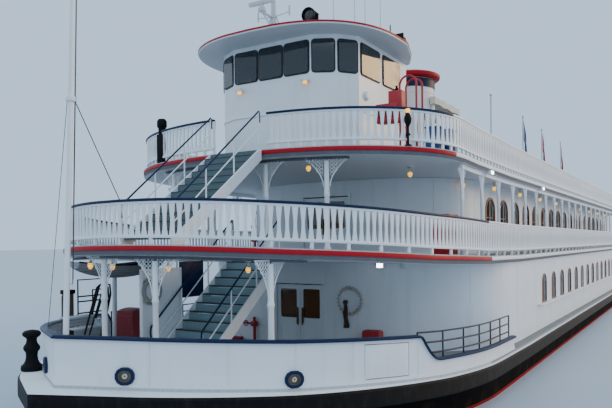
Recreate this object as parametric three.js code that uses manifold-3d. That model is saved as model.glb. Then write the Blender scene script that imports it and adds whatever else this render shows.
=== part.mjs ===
// Stern-wheel paddle steamer, built as a 1:2 scale model.
// Every size below is the real boat's, in metres. u runs aft from the stem, y to port and
// z up from the flat bottom. The finished pieces are in millimetres of the model, with
// +X forward, +Y to port, +Z up and the origin under the middle of the whole boat.
import * as THREE from 'three';
import { mergeVertices } from 'three/addons/utils/BufferGeometryUtils.js';
import Module from 'manifold-3d';

const wasm = await Module();
wasm.setup();

// Scale and clearances
const MODEL_SCALE = 0.5;
const MM = 1000 * MODEL_SCALE;
const STEM_X = 31.71;
const GAP = 0.0007;
const SLACK = 0.008;
const SWING_GAP = 0.014;
const HINGE_GAP = 0.03;

// Levels amidships
const GUARD_Z = 2.8;
const MAIN_Z = 3.0;
const DECK2_Z = 6.05;
const DECK3_Z = 8.94;
const CABIN_FLOOR_Z = 10.6;
const CABIN_TOP_Z = 12.85;
const ROOF_Z = 13.05;
const DECK_THICK = 0.24;

// Sheer: how far the decks rise towards the bow, as [u, rise]
const SHEER = [
  [-0.6, 0.67],
  [3.0, 0.386],
  [7.0, 0.161],
  [10.5, 0.044],
  [14.3, 0.0],
];
const SHEER_END = 14.3;

// Plan shapes: rounded bow of length curve and half-breadth half, straight to the aft end. The main
// plan is finer forward and runs straight to a sharp stem between the two places given as stem.
const MAIN_PLAN = { front: 0.25, curve: 9.6, half: 6.3, power: 1.8, aft: 56.5, stem: [-0.11, 0.73] };
const DECK2_PLAN = { front: 1.6, curve: 8.92, half: 6.11, power: 2.19, aft: 56.3 };
const DECK3_PLAN = { front: 5.89, curve: 3.7, half: 5.76, power: 2.39, aft: 54.5 };
const MAIN_HOUSE_PLAN = { front: 9.5, curve: 5.0, half: 6.0, power: 2.3, aft: 54.6 };
const DECK2_HOUSE_PLAN = { front: 11.3, curve: 3.0, half: 4.6, power: 2.3, aft: 52.4 };
const ROOF_PLAN = { front: 6.75, curve: 3.4, half: 3.5, power: 2.5, aft: 10.6 };
const ROOF_TAIL = [
  [11.86, 3.1],
  [12.75, 2.68],
];
const STEM_HALF = 0.03;
const FINE_BOW = 0.18;
const BOW_SHARES = [0.004, 0.02, 0.05, 0.1, 0.17, 0.26, 0.38, 0.52, 0.7, 1];

// Hull levels as [z, share of the sheer, front, bow curve, half-breadth, aft]
const HULL_LEVELS = [
  [0, 0, 3.4, 11.5, 5.85, 46.5],
  [1.6, 0.5, 0.9, 10.4, 6.15, 56.5],
  [2.8, 1, 0.25, 9.6, 6.3, 56.5],
];

// Walls, rails and posts
const WALL = 0.12;
const BAY = 1.95;
const RAIL_HEIGHT = 1.05;
const RAIL_LOW = 0.15;
const RAIL_WIDTH = 0.1;
const GUARD_BOW = 0.62;
const GUARD_SIDE = 0.17;
const GUARD_LOW_Z = 2.5;
const GUARD_TOP_Z = 2.94;
const BULWARK_HEIGHT = 0.98;
const CAP_GAP = 0.0025;
const GATE_FROM = 4.46;
const GATE_TO = 5.73;
const GATE_SILL = 0.08;

// The bulwark sweeps down abaft the gates, as [u, height]
const BULWARK_SWEEP = [
  [6.15, 0.98],
  [6.3, 0.78],
  [6.45, 0.6],
  [6.6, 0.47],
  [6.8, 0.38],
];
const POST = 0.14;

// Doors
const DOOR_HALF = 0.92;
const DOOR_HEIGHT = 2.1;
const DOOR_THICK = 0.06;
const DOOR_SILL_GAP = 0.055;
const PIN_RADIUS = 0.02;

// Stairs: both flights climb aft, between these sides
const STAIR_Y = [-0.67, 1.11];
const STAIR_STEPS = 13;
const LOWER_STAIR_U = [3.2, 6.8];
const UPPER_STAIR_U = [2.25, 5.84];

// Paddle wheel and stern
const WHEEL_U = 60.6;
const WHEEL_Z = 3.85;
const WHEEL_RADIUS = 2.9;
const WHEEL_HALF = 4.6;
const WHEEL_ARMS = 12;
const SHAFT_RADIUS = 0.2;
const BEAM_Y = 5.3;
const BEAM_WIDTH = 0.4;
const BEAM_U = [54.75, 64.15];
const BEAM_Z = [MAIN_Z + GAP, 3.55];
const RUDDER_U = 54.0;
const RUDDER_Y = 2.4;

const WHEEL_FRAMES = [-4.3, 0, 4.3];
const RIM_RADIUS = 1.75;
const BUCKET_DEPTH = 0.6;

// Boarding rails, posts and brackets
const BOARDING_END = 12.6;
const BOARDING_FROM = 6.2;
const BOARDING_BARS = [1.1, 0.84, 0.58];
const BOARDING_INSET = 0.17;
const PIPE = 0.05;
const POST_INSET = 0.32;
const MAIN_POST_Y = [0.85, 3.3];
const BOILER_POST_Y = [0.96, 2.8];
const SIDE_PROP_AT = [4.47, -3.3];
const BRACKET = 0.52;
const SIDE_POSTS_FROM = 9.5;
const SIDE_POSTS_TO = 53.2;
const HANDRAIL = 0.92;
const FEET_ASTERN = [10.5, 14.4, 18.3, 22.2, 26.1, 30, 33.9, 37.8, 41.7, 45.6, 49.5];
const RAIL_FEET_DECK2 = [1.75, 3.6, 6.5, ...FEET_ASTERN, 53.4, 56.1];
const RAIL_FEET_DECK3 = [6.2, 7.8, ...FEET_ASTERN, 54.3];

// Saloon windows of the boiler deck: one to a bay
const SALOON_FROM = 15.3;
const SALOON_COUNT = 18;
const SALOON_WIDTH = 1.25;
const SALOON_Z = [0.75, 2.0];

// Wheelhouse: port half of its plan, its window levels, and windows as
// [stretch of wall, or -1 for the front, share where it starts, share where it ends]
const CABIN_HALF = [
  [7.93, 1.45],
  [8.3, 2.15],
  [8.9, 2.6],
  [10.5, 2.6],
  [12.6, 2.6],
];
const SILL_Z = 11.72;
const LINTEL_Z = 12.68;
const CABIN_WINDOWS = [
  [-1, 0.02, 0.32],
  [-1, 0.35, 0.65],
  [-1, 0.68, 0.98],
  [0, 0.08, 0.92],
  [1, 0.08, 0.92],
  [2, 0.08, 0.92],
  [3, 0.06, 0.7],
];

// Gear on the wheelhouse roof, as [u, y] and for the aerials [u, y, top]
const MAST_AT = [8.7, -0.4];
const MAST_TOP_Z = 14.75;
const LOW_SCANNER_Z = 14.1;
const LOW_SCANNER_REACH = 0.66;
const LOW_SCANNER_HALF = 0.5;
const TOP_SCANNER_HALF = 0.85;
const DOME_AT = [9.3, -0.1];
const LIGHT_AT = [9.4, 0.6];
const LIGHT_Z = 14.0;
const AERIALS = [
  [10.4, 0.9, 16.2],
  [10.8, 1.5, 15.6],
  [11.1, 1.75, 15.1],
  [11.9, 1.95, 15.6],
];

// Sun deck: stair tower, awning, hoops
const TOWER_AT = [14.6, 1.9];
const TOWER_RADIUS = 0.95;
const TOWER_TOP_Z = 12.7;
const AWNING_Z = [11.68, 11.98, 12.1];
const AWNING_HALF = [
  [14.3, 3.05],
  [17.15, 3.05],
];
const AWNING_POSTS = [14.45, 17.0];
const AWNING_POST_Y = 2.9;
const HOOPS = [
  [8.3, 4.45],
  [8.75, 4.45],
];
const HOOP_HALF = 0.25;
const HOOP_Z = 11.0;

// Bow fittings
const STAFF_U = 0.16;
const STAFF_FOOT = 0.09;
const STAFF_LENGTH = 11.2;
const STAFF_RAKE = 0.035;
const MOORING_POST_AT = [1.217, -2.612];
const POST_SETTLE = 0.0033;
const MOORING_PROFILE = [
  [0, 0],
  [0.25, 0],
  [0.25, 0.12],
  [0.15, 0.25],
  [0.14, 0.45],
  [0.2, 0.55],
  [0.13, 0.68],
  [0.12, 0.78],
  [0.22, 0.86],
  [0.2, 0.96],
  [0, 1.0],
];

// Colours and finishes
function finish(color, roughness, metalness = 0) {
  return new THREE.MeshStandardMaterial({ color, roughness, metalness });
}
const white = finish(0xe9edf0, 0.45);
const black = finish(0x0d0e10, 0.5);
const navy = finish(0x0d2748, 0.4);
const crimson = finish(0x9c1626, 0.4);
const deckGrey = finish(0x6f7674, 0.85);
const treadGreen = finish(0x4f6663, 0.8);
const cream = finish(0xe8dcc0, 0.6);
const glassDark = finish(0x182228, 0.1);
const steel = finish(0x8a9096, 0.4, 0.8);
const wheelRed = finish(0xa8231c, 0.6);
const canvasRed = finish(0x5a1420, 0.9);

// Rise of the decks at u
function rise(u) {
  const last = SHEER.findIndex(([knot]) => u < knot);
  if (last < 0) return 0;
  const [u0, z0] = SHEER[Math.max(last - 1, 0)];
  const [u1, z1] = SHEER[Math.max(last, 1)];
  return z0 + ((z1 - z0) * (u - u0)) / (u1 - u0);
}

// A level that follows the sheer, and one that stays just under a deck
function onDeck(z) {
  return (u) => z + rise(u);
}
function underDeck(z) {
  return (u) => z + rise(u) - (u < SHEER_END ? SLACK : GAP);
}
function levelAt(z, u) {
  return typeof z === 'function' ? z(u) : z;
}

function halfBreadth(plan, u) {
  if (plan.stem && u < plan.stem[1]) {
    const share = (u - plan.stem[0]) / (plan.stem[1] - plan.stem[0]);
    return STEM_HALF + (halfBreadth(plan, plan.stem[1]) - STEM_HALF) * share;
  }
  const share = Math.max((plan.front + plan.curve - u) / plan.curve, 0);
  const full = plan.half * (1 - share ** plan.power) ** (1 / plan.power);
  return plan.stem ? full * (1 - FINE_BOW * share ** 8) : full;
}

// Port half of a plan as [u, y], from the bow aft, with a point at each knot of the sheer
function halfOutline(plan, from = plan.front, to = plan.aft, extra = []) {
  const bow = BOW_SHARES.map((share) => plan.front + share * plan.curve);
  const knots = SHEER.map(([u]) => u);
  const start = plan.stem && from === plan.front ? plan.stem[1] - 0.04 : from;
  const inner = [...bow, ...knots, ...extra].filter((u) => u > start + 0.03 && u < to - 0.05);
  const starts = from > plan.front ? [from] : [];
  if (plan.stem && from === plan.front) starts.push(plan.stem[0]);
  const stations = [...starts, ...inner, to].sort((a, b) => a - b);
  const kept = stations.filter((u, i) => i === 0 || u - stations[i - 1] > 0.03);
  return kept.map((u) => [u, halfBreadth(plan, u)]);
}

function mirrored(points) {
  return points.map(([u, y]) => [u, -y]).reverse();
}

// Windows of the boiler deck saloon as [from, to, low, high], and the levels of their panes
function saloonWindows() {
  return Array.from({ length: SALOON_COUNT }, (_, i) => {
    const from = SALOON_FROM + i * BAY;
    const [low, high] = SALOON_Z.map((height) => DECK2_Z + height);
    return [from, from + SALOON_WIDTH, low, high];
  });
}
function paneLevels() {
  return SALOON_Z.map((height, i) => onDeck(DECK2_Z + height + (i ? 0.05 : -0.05)));
}

// The path round the bow, from the starboard side at u = to, to the port side
function bowPath(plan, to, extra = []) {
  const port = halfOutline(plan, plan.front, to, extra);
  return [...mirrored(port), ...port];
}

// The path all round a plan, closed
function ringPath(plan) {
  const port = halfOutline(plan);
  return [...port, ...mirrored(port)];
}

// How far aft the front of a plan lies at y
function frontAt(plan, y) {
  const share = Math.abs(y / plan.half) ** plan.power;
  return plan.front + plan.curve * (1 - (1 - share) ** (1 / plan.power));
}

// A place in the model from u, y and z of the boat
function corner(u, y, z) {
  return [STEM_X - u, y, z];
}

// A closed body from corner points and triangles, turned so that its faces point out
function body(corners, triangles) {
  let volume = 0;
  for (const triangle of triangles) {
    const [p, q, r] = triangle.map((index) => new THREE.Vector3(...corners[index]));
    volume += p.dot(q.cross(r));
  }
  const order = volume < 0 ? triangles.map(([a, b, c]) => [a, c, b]) : triangles;
  const geometry = new THREE.BufferGeometry();
  geometry.setAttribute('position', new THREE.Float32BufferAttribute(corners.flat(), 3));
  geometry.setIndex(order.flat());
  return geometry;
}

// A body between half outlines stacked in height, closed by a ladder of faces at each end
function stack(levels) {
  const corners = [];
  const triangles = [];
  const count = levels[0].half.length;
  const size = 2 * count;
  for (const { z, half } of levels) {
    const ring = [...half, ...mirrored(half)];
    ring.forEach(([u, y]) => corners.push(corner(u, y, levelAt(z, u))));
  }
  for (let start = 0; start + size < corners.length; start += size) {
    for (let i = 0; i < size; i += 1) {
      const a = start + i;
      const b = start + ((i + 1) % size);
      triangles.push([a, b, b + size], [a, b + size, a + size]);
    }
  }
  const top = (levels.length - 1) * size;
  for (let i = 0; i + 1 < count; i += 1) {
    const [a, b, c, d] = [i, i + 1, size - 2 - i, size - 1 - i];
    triangles.push([a, c, b], [a, d, c]);
    triangles.push([top + a, top + b, top + c], [top + a, top + c, top + d]);
  }
  return body(corners, triangles);
}

function plate(plan, z0, z1) {
  const half = halfOutline(plan);
  return stack([{ z: z0, half }, { z: z1, half }]);
}

// A strip along a path of [u, y] points. section(u) gives its corners as [offset, z], with the
// offset to the left of the path as seen from above with u to the right and y up.
function sweep(path, section, closed = false) {
  const count = path.length;
  const directions = path.map(([u, y], i) => {
    const [v, w] = path[(i + 1) % count];
    return new THREE.Vector2(v - u, w - y).normalize();
  });
  if (!closed) directions[count - 1] = directions[count - 2];
  const corners = [];
  const sides = section(path[0][0]).length;
  path.forEach(([u, y], i) => {
    const before = i === 0 ? directions[closed ? count - 1 : 0] : directions[i - 1];
    const bisector = before.clone().add(directions[i]).normalize();
    const stretch = 1 / bisector.dot(directions[i]);
    for (const [offset, z] of section(u)) {
      const reach = offset * stretch;
      corners.push(corner(u - bisector.y * reach, y + bisector.x * reach, z));
    }
  });
  const triangles = [];
  const steps = closed ? count : count - 1;
  for (let i = 0; i < steps; i += 1) {
    const [here, next] = [i * sides, ((i + 1) % count) * sides];
    for (let k = 0; k < sides; k += 1) {
      const after = (k + 1) % sides;
      triangles.push([here + k, here + after, next + after], [here + k, next + after, next + k]);
    }
  }
  if (!closed) {
    const end = (count - 1) * sides;
    for (let k = 1; k + 1 < sides; k += 1) {
      triangles.push([0, k + 1, k], [end, end + k, end + k + 1]);
    }
  }
  return body(corners, triangles);
}

// A strip of rectangular section between two offsets and two levels
function ribbon(path, left, right, z0, z1, closed = false) {
  const section = (u) => [
    [left, levelAt(z0, u)],
    [left, levelAt(z1, u)],
    [right, levelAt(z1, u)],
    [right, levelAt(z0, u)],
  ];
  return sweep(path, section, closed);
}

// A block from u0 to u1, y0 to y1 and z0 to z1
function block(u0, u1, y0, y1, z0, z1) {
  const geometry = new THREE.BoxGeometry(u1 - u0, y1 - y0, z1 - z0);
  return geometry.translate(STEM_X - (u0 + u1) / 2, (y0 + y1) / 2, (z0 + z1) / 2);
}

// An upright round post or drum
function drum(u, y, z0, z1, radiusLow, radiusHigh = radiusLow, sides = 12) {
  const geometry = new THREE.CylinderGeometry(radiusHigh, radiusLow, z1 - z0, sides);
  geometry.rotateX(Math.PI / 2);
  return geometry.translate(STEM_X - u, y, (z0 + z1) / 2);
}

// A round bar along y
function axle(u, z, y0, y1, radius, sides, turn = 0) {
  const geometry = new THREE.CylinderGeometry(radius, radius, y1 - y0, sides);
  return geometry.rotateY(turn).translate(STEM_X - u, (y0 + y1) / 2, z);
}

// A straight square bar between two points given as [u, y, z]
function bar(from, to, width) {
  const [a, b] = [from, to].map((point) => new THREE.Vector3(...corner(...point)));
  const span = b.clone().sub(a);
  const geometry = new THREE.BoxGeometry(width, width, span.length() + width * 0.8);
  const turn = new THREE.Quaternion();
  turn.setFromUnitVectors(new THREE.Vector3(0, 0, 1), span.clone().normalize());
  geometry.applyQuaternion(turn);
  const middle = a.add(b).multiplyScalar(0.5);
  return geometry.translate(middle.x, middle.y, middle.z);
}

// An upright plate from an outline of [s, z] points; place turns s, z and a depth into a corner
function upright(points, depths, place) {
  const flat = points.map(([s, z]) => new THREE.Vector2(s, z));
  const count = points.length;
  const corners = depths.flatMap((depth) => points.map(([s, z]) => place(s, z, depth)));
  const triangles = [];
  for (const [a, b, c] of THREE.ShapeUtils.triangulateShape(flat, [])) {
    triangles.push([a, b, c], [a + count, c + count, b + count]);
  }
  const turned = THREE.ShapeUtils.isClockWise(flat);
  for (let i = 0; i < count; i += 1) {
    const next = (i + 1) % count;
    const [a, b, c, d] = turned ? [next, next + count, i + count, i] : [i, i + count, next + count, next];
    triangles.push([a, b, c], [a, c, d]);
  }
  return body(corners, triangles);
}
function alongPlate(points, y0, y1) {
  return upright(points, [y0, y1], (u, z, y) => corner(u, y, z));
}
function acrossPlate(points, u0, u1) {
  return upright(points, [u0, u1], (y, z, u) => corner(u, y, z));
}

// An opening through a flat stretch of wall from point a to point b, between two shares of it
function opening(a, b, share0, share1, z0, z1, depth = 0.3) {
  const at = (share) => [a[0] + (b[0] - a[0]) * share, a[1] + (b[1] - a[1]) * share];
  return ribbon([at(share0), at(share1)], depth, -depth, z0, z1);
}

function toManifold(geometry) {
  const bare = geometry.clone();
  bare.deleteAttribute('normal');
  bare.deleteAttribute('uv');
  const merged = mergeVertices(bare, 1e-6);
  return new wasm.Manifold(
    new wasm.Mesh({
      numProp: 3,
      vertProperties: new Float32Array(merged.attributes.position.array),
      triVerts: new Uint32Array(merged.index.array),
    }),
  );
}

function fromManifold(solid) {
  const mesh = solid.getMesh();
  const geometry = new THREE.BufferGeometry();
  geometry.setAttribute('position', new THREE.BufferAttribute(mesh.vertProperties, 3));
  geometry.setIndex(new THREE.BufferAttribute(mesh.triVerts, 1));
  return geometry;
}

function joined(pieces) {
  return fromManifold(pieces.map(toManifold).reduce((all, piece) => all.add(piece)));
}

function cut(piece, tools) {
  const start = toManifold(piece);
  return fromManifold(tools.map(toManifold).reduce((left, tool) => left.subtract(tool), start));
}

const group = new THREE.Group();

function add(name, geometry, material) {
  const finished = geometry.clone();
  finished.scale(MM, MM, MM);
  const mesh = new THREE.Mesh(finished, material);
  mesh.name = name;
  group.add(mesh);
}

// The same piece on both sides: make is given the side's name and 1 to port, -1 to starboard
function addPair(name, make, material) {
  add(`${name}_port`, make(1), material);
  add(`${name}_starboard`, make(-1), material);
}

// Hull with a spoon bow and a raked stern
function addHull() {
  const stations = halfOutline(MAIN_PLAN).map(([u]) => u);
  const bowEnd = MAIN_PLAN.front + MAIN_PLAN.curve;
  const levels = HULL_LEVELS.map(([z, sheerShare, front, curve, half, aft]) => {
    const points = stations.map((u) => {
      const inBow = (u - MAIN_PLAN.front) / MAIN_PLAN.curve;
      const inSide = (u - bowEnd) / (MAIN_PLAN.aft - bowEnd);
      const bowPlace = front + inBow * curve;
      const place = u < bowEnd ? bowPlace : front + curve + inSide * (aft - front - curve);
      return [place, (halfBreadth(MAIN_PLAN, u) * half) / MAIN_PLAN.half, u];
    });
    return { z, sheerShare, points };
  });
  const heights = levels.map(({ z, sheerShare, points }) => {
    const rises = new Map(points.map(([place, , u]) => [place, sheerShare * rise(u)]));
    const half = points.map(([place, y]) => [place, y]);
    return { z: (u) => z + rises.get(u), half };
  });
  add('hull', stack(heights), black);
}

// Rubbing guard and ledge round the hull, widest at the stem
function addGuard() {
  const reach = (u) => {
    const share = Math.min(Math.max((u - MAIN_PLAN.front) / MAIN_PLAN.curve, 0), 1);
    return GUARD_SIDE + (GUARD_BOW - GUARD_SIDE) * (1 - share) ** 2;
  };
  const section = (u) => [
    [GAP, GUARD_LOW_Z + rise(u)],
    [reach(u), GUARD_LOW_Z + rise(u)],
    [reach(u), GUARD_TOP_Z + rise(u)],
    [GAP, GUARD_TOP_Z + rise(u)],
  ];
  add('guard', sweep(ringPath(MAIN_PLAN), section, true), black);
}

// Height of the bulwark at u
function bulwarkHeight(u) {
  const last = BULWARK_SWEEP.findIndex(([knot]) => u < knot);
  if (last === 0) return BULWARK_HEIGHT;
  if (last < 0) return BULWARK_SWEEP[BULWARK_SWEEP.length - 1][1];
  const [[u0, h0], [u1, h1]] = BULWARK_SWEEP.slice(last - 1, last + 1);
  return h0 + ((h1 - h0) * (u - u0)) / (u1 - u0);
}

// Bulwark round the bow, its cap rail, and a hinged gate on each side
function addBulwark() {
  const stations = BULWARK_SWEEP.map(([u]) => u);
  const path = bowPath(MAIN_PLAN, BOARDING_END, stations);
  const topAt = (lift) => (u) => MAIN_Z + rise(u) + bulwarkHeight(u) + lift;
  const wall = ribbon(path, -0.02, -0.1, onDeck(MAIN_Z + GAP), topAt(0));
  const gatePath = halfOutline(MAIN_PLAN, GATE_FROM, GATE_TO);
  const low = MAIN_Z + GATE_SILL;
  const high = MAIN_Z + BULWARK_HEIGHT - GATE_SILL;
  const gap = (side) => {
    const points = gatePath.map(([u, y]) => [u, side * y]);
    return ribbon(points, 0.3, -0.3, onDeck(low), onDeck(high));
  };
  add('bulwark', cut(wall, [gap(1), gap(-1)]), white);
  add('bulwark_cap', ribbon(path, -0.15, 0.05, topAt(CAP_GAP), topAt(0.07)), navy);
  const leafPath = halfOutline(MAIN_PLAN, GATE_FROM + HINGE_GAP, GATE_TO - SWING_GAP);
  const [pinU, pinY] = leafPath[0];
  addPair(
    'bulwark_gate',
    (side) => {
      const points = leafPath.map(([u, y]) => [u, side * y]);
      const leaf = ribbon(
        points,
        -side * 0.02,
        -side * 0.1,
        onDeck(low + SWING_GAP),
        onDeck(high - SWING_GAP),
      );
      const pinZ = low + rise(pinU - PIN_RADIUS) + GAP;
      const pin = drum(pinU, side * (pinY - 0.03), pinZ, high - SWING_GAP + rise(pinU), PIN_RADIUS);
      return joined([leaf, pin]);
    },
    white,
  );
}

// Pipe rails inside the low part of the bulwark, as far as the deckhouse
function boardingRail(side) {
  const half = halfOutline(MAIN_PLAN, BOARDING_FROM, BOARDING_END);
  const path = half.map(([u, y]) => [u, side * y]);
  const bars = BOARDING_BARS.map((height) => {
    const [low, high] = [onDeck(MAIN_Z + height - PIPE), onDeck(MAIN_Z + height)];
    return ribbon(path, -side * BOARDING_INSET, -side * (BOARDING_INSET + PIPE), low, high);
  });
  const posts = half.map(([station], i) => {
    const u = station + (i === 0 ? 2 * PIPE : -PIPE / 2);
    const slope = (halfBreadth(MAIN_PLAN, u + PIPE) - halfBreadth(MAIN_PLAN, u - PIPE)) / (2 * PIPE);
    const inset = (BOARDING_INSET + PIPE / 2) * Math.hypot(1, slope);
    const y = side * (halfBreadth(MAIN_PLAN, u) - inset);
    const foot = MAIN_Z + rise(u - PIPE / 2) + GAP;
    const top = MAIN_Z + BOARDING_BARS[0] + rise(u) - 0.01;
    return block(u - PIPE / 2, u + PIPE / 2, y - PIPE / 2, y + PIPE / 2, foot, top);
  });
  return joined([...bars, ...posts]);
}

// Walls round a deckhouse, with an opening for a pair of doors in the flat front
function houseWalls(plan, z0, z1, windows) {
  const path = ringPath(plan);
  const walls = ribbon(path, 0, -WALL, onDeck(z0 + GAP), underDeck(z1), true);
  const front = plan.front;
  const doorTop = z0 + rise(front) + DOOR_HEIGHT;
  const doorway = block(front - 0.5, front + 0.5, -DOOR_HALF, DOOR_HALF, z0 - 0.5, doorTop);
  const tools = windows.map(([from, to, low, high]) => block(from, to, -8, 8, low, high));
  return cut(walls, [doorway, ...tools]);
}

// One leaf of a pair of doors, with its hinge pin down to the deck
function doorLeaf(side, plan, deckZ) {
  const face = plan.front + BOW_SHARES[0] * plan.curve;
  const floor = deckZ + rise(face - 0.05);
  const [near, far] = [SWING_GAP / 2, DOOR_HALF - HINGE_GAP];
  const [y0, y1] = side > 0 ? [near, far] : [-far, -near];
  const top = floor + DOOR_HEIGHT - 0.04;
  const leaf = block(face, face + DOOR_THICK, y0, y1, floor + DOOR_SILL_GAP, top);
  return joined([leaf, drum(face, side * far, floor + GAP, top, PIN_RADIUS)]);
}

// A row of posts under a bow deck, joined by a header, with brackets at their heads
function bowPosts(plan, ys, reach, z0, z1) {
  const spots = [...ys].sort((a, b) => a - b);
  const at = (y) => [frontAt(plan, y) + POST_INSET, y];
  const ends = [-reach, 0, reach];
  const path = [...spots, ...ends].sort((a, b) => a - b).map(at);
  const header = ribbon(path, POST / 2, -POST / 2, (u) => z1 + rise(u) - 0.15, underDeck(z1 - 0.01));
  const posts = spots.map(at).map(([u, y]) => {
    const foot = z0 + rise(u - POST / 2) + GAP;
    return block(u - POST / 2, u + POST / 2, y - POST / 2, y + POST / 2, foot, z1 + rise(u) - 0.08);
  });
  const brackets = spots.map(at).map(([u, y]) => {
    const top = z1 + rise(u) - 0.1;
    const outline = [
      [y - BRACKET, top],
      [y - BRACKET, top - 0.1],
      [y - BRACKET * 0.45, top - BRACKET * 0.5],
      [y - POST * 0.4, top - BRACKET * 1.1],
      [y + POST * 0.4, top - BRACKET * 1.1],
      [y + BRACKET * 0.45, top - BRACKET * 0.5],
      [y + BRACKET, top - 0.1],
      [y + BRACKET, top],
    ];
    return acrossPlate(outline, u - 0.02, u + 0.02);
  });
  return joined([header, ...posts, ...brackets]);
}

// Posts along one side of the boiler deck, joined by a header under the deck above
function sidePosts(side) {
  const at = (u) => [u, side * (halfBreadth(DECK3_PLAN, u) - 0.16)];
  const count = Math.floor((SIDE_POSTS_TO - SIDE_POSTS_FROM) / BAY);
  const spots = Array.from({ length: count + 1 }, (_, i) => SIDE_POSTS_FROM + i * BAY);
  const stations = [SIDE_POSTS_FROM - 0.1, 10.5, SHEER_END, SIDE_POSTS_TO + 0.1];
  const under = DECK3_Z - DECK_THICK;
  const header = ribbon(stations.map(at), 0.06, -0.06, (u) => under + rise(u) - 0.15, underDeck(under));
  const posts = spots.map(at).map(([u, y]) => {
    const foot = DECK2_Z + rise(u - 0.05) + GAP;
    return block(u - 0.05, u + 0.05, y - 0.05, y + 0.05, foot, under + rise(u) - 0.08);
  });
  return joined([header, ...posts]);
}

// Railing along a path: a top rail, a panel of balusters and feet down to the deck
function balustrade(path, deckZ, closed) {
  const top = deckZ + RAIL_HEIGHT;
  const half = RAIL_WIDTH / 2;
  const middle = -0.1;
  const rail = ribbon(path, middle + half, middle - half, onDeck(top - 0.07), onDeck(top), closed);
  const panelZ = [onDeck(deckZ + RAIL_LOW), onDeck(top - 0.05)];
  const panel = ribbon(path, middle + 0.02, middle - 0.02, ...panelZ, closed);
  return [rail, panel];
}
function railFeet(plan, deckZ, stations) {
  return stations.flatMap((u) =>
    [1, -1].map((side) => {
      const y = side * (halfBreadth(plan, u) - 0.1);
      const foot = deckZ + rise(u - 0.04) + GAP;
      return block(u - 0.04, u + 0.04, y - 0.04, y + 0.04, foot, deckZ + rise(u) + RAIL_HEIGHT - 0.03);
    }),
  );
}

// A flight of steps climbing aft, with sloping sides and handrails
function flight([u0, u1], z0, z1) {
  const [y0, y1] = STAIR_Y;
  const [going, riser] = [(u1 - u0) / STAIR_STEPS, (z1 - z0) / STAIR_STEPS];
  const treads = Array.from({ length: STAIR_STEPS - 1 }, (_, i) => {
    const [u, z] = [u0 + (i + 1) * going - 0.13, z0 + (i + 1) * riser];
    return block(u, u + going + 0.03, y0 + 0.03, y1 - 0.03, z - 0.05, z);
  });
  const slope = (z1 - z0) / (u1 - u0);
  const stringer = [
    [u0, z0 + GAP],
    [u0 + 0.35, z0 + GAP],
    [u1, z1 - 0.35 * slope - 0.06],
    [u1, z1 - 0.02],
    [u1 - 0.1, z1 - 0.02],
    [u0, z0 + 0.16],
  ];
  const sides = [
    [y0, y0 + 0.06],
    [y1 - 0.06, y1],
  ].map(([a, b]) => alongPlate(stringer, a, b));
  const rails = [y0 + 0.03, y1 - 0.03].flatMap((y) => {
    const at = (share, height) => {
      const [along, up] = [u0 + 0.1 + share * (u1 - u0 - 0.2), z0 + 0.1 + share * (z1 - z0)];
      return [along, y, up + height];
    };
    const posts = [0, 0.34, 0.67, 1].map((share) => bar(at(share, -0.02), at(share, HANDRAIL), PIPE));
    const bars = [HANDRAIL, HANDRAIL / 2].map((height) => bar(at(0, height), at(1, height), PIPE));
    return [...posts, ...bars];
  });
  return joined([...sides, ...treads, ...rails]);
}

// Wheelhouse: a solid lower part, hollow walls with their windows cut, and the roof
function cabinPath() {
  return [...CABIN_HALF, ...mirrored(CABIN_HALF)];
}
function addWheelhouse() {
  const base = stack([
    { z: onDeck(DECK3_Z + GAP), half: CABIN_HALF },
    { z: CABIN_FLOOR_Z, half: CABIN_HALF },
  ]);
  add('wheelhouse_base', base, white);
  const walls = ribbon(cabinPath(), 0, -0.1, CABIN_FLOOR_Z + GAP, CABIN_TOP_Z, true);
  const tools = CABIN_WINDOWS.flatMap(([from, share0, share1]) => {
    const flip = ([u, y]) => [u, -y];
    const [a, b] = from < 0 ? [flip(CABIN_HALF[0]), CABIN_HALF[0]] : CABIN_HALF.slice(from, from + 2);
    const hole = opening(a, b, share0, share1, SILL_Z, LINTEL_Z);
    if (from < 0) return [hole];
    return [hole, opening(flip(a), flip(b), share0, share1, SILL_Z, LINTEL_Z)];
  });
  const rear = block(12.3, 12.9, -1.9, 1.9, SILL_Z, LINTEL_Z);
  add('wheelhouse_walls', cut(walls, [...tools, rear]), white);
  const pane = ribbon(cabinPath(), -0.1 - GAP, -0.13, SILL_Z - 0.05, LINTEL_Z + 0.05, true);
  add('wheelhouse_glass', pane, glassDark);
  const edge = [...halfOutline(ROOF_PLAN), ...ROOF_TAIL];
  const middle = (ROOF_PLAN.front + ROOF_TAIL[1][0]) / 2;
  const crown = edge.map(([u, y]) => [middle + (u - middle) * 0.75, y * 0.75]);
  const roof = stack([
    { z: CABIN_TOP_Z + GAP, half: edge },
    { z: CABIN_TOP_Z + 0.1, half: edge },
    { z: ROOF_Z, half: crown },
  ]);
  add('wheelhouse_roof', roof, white);
}

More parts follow.
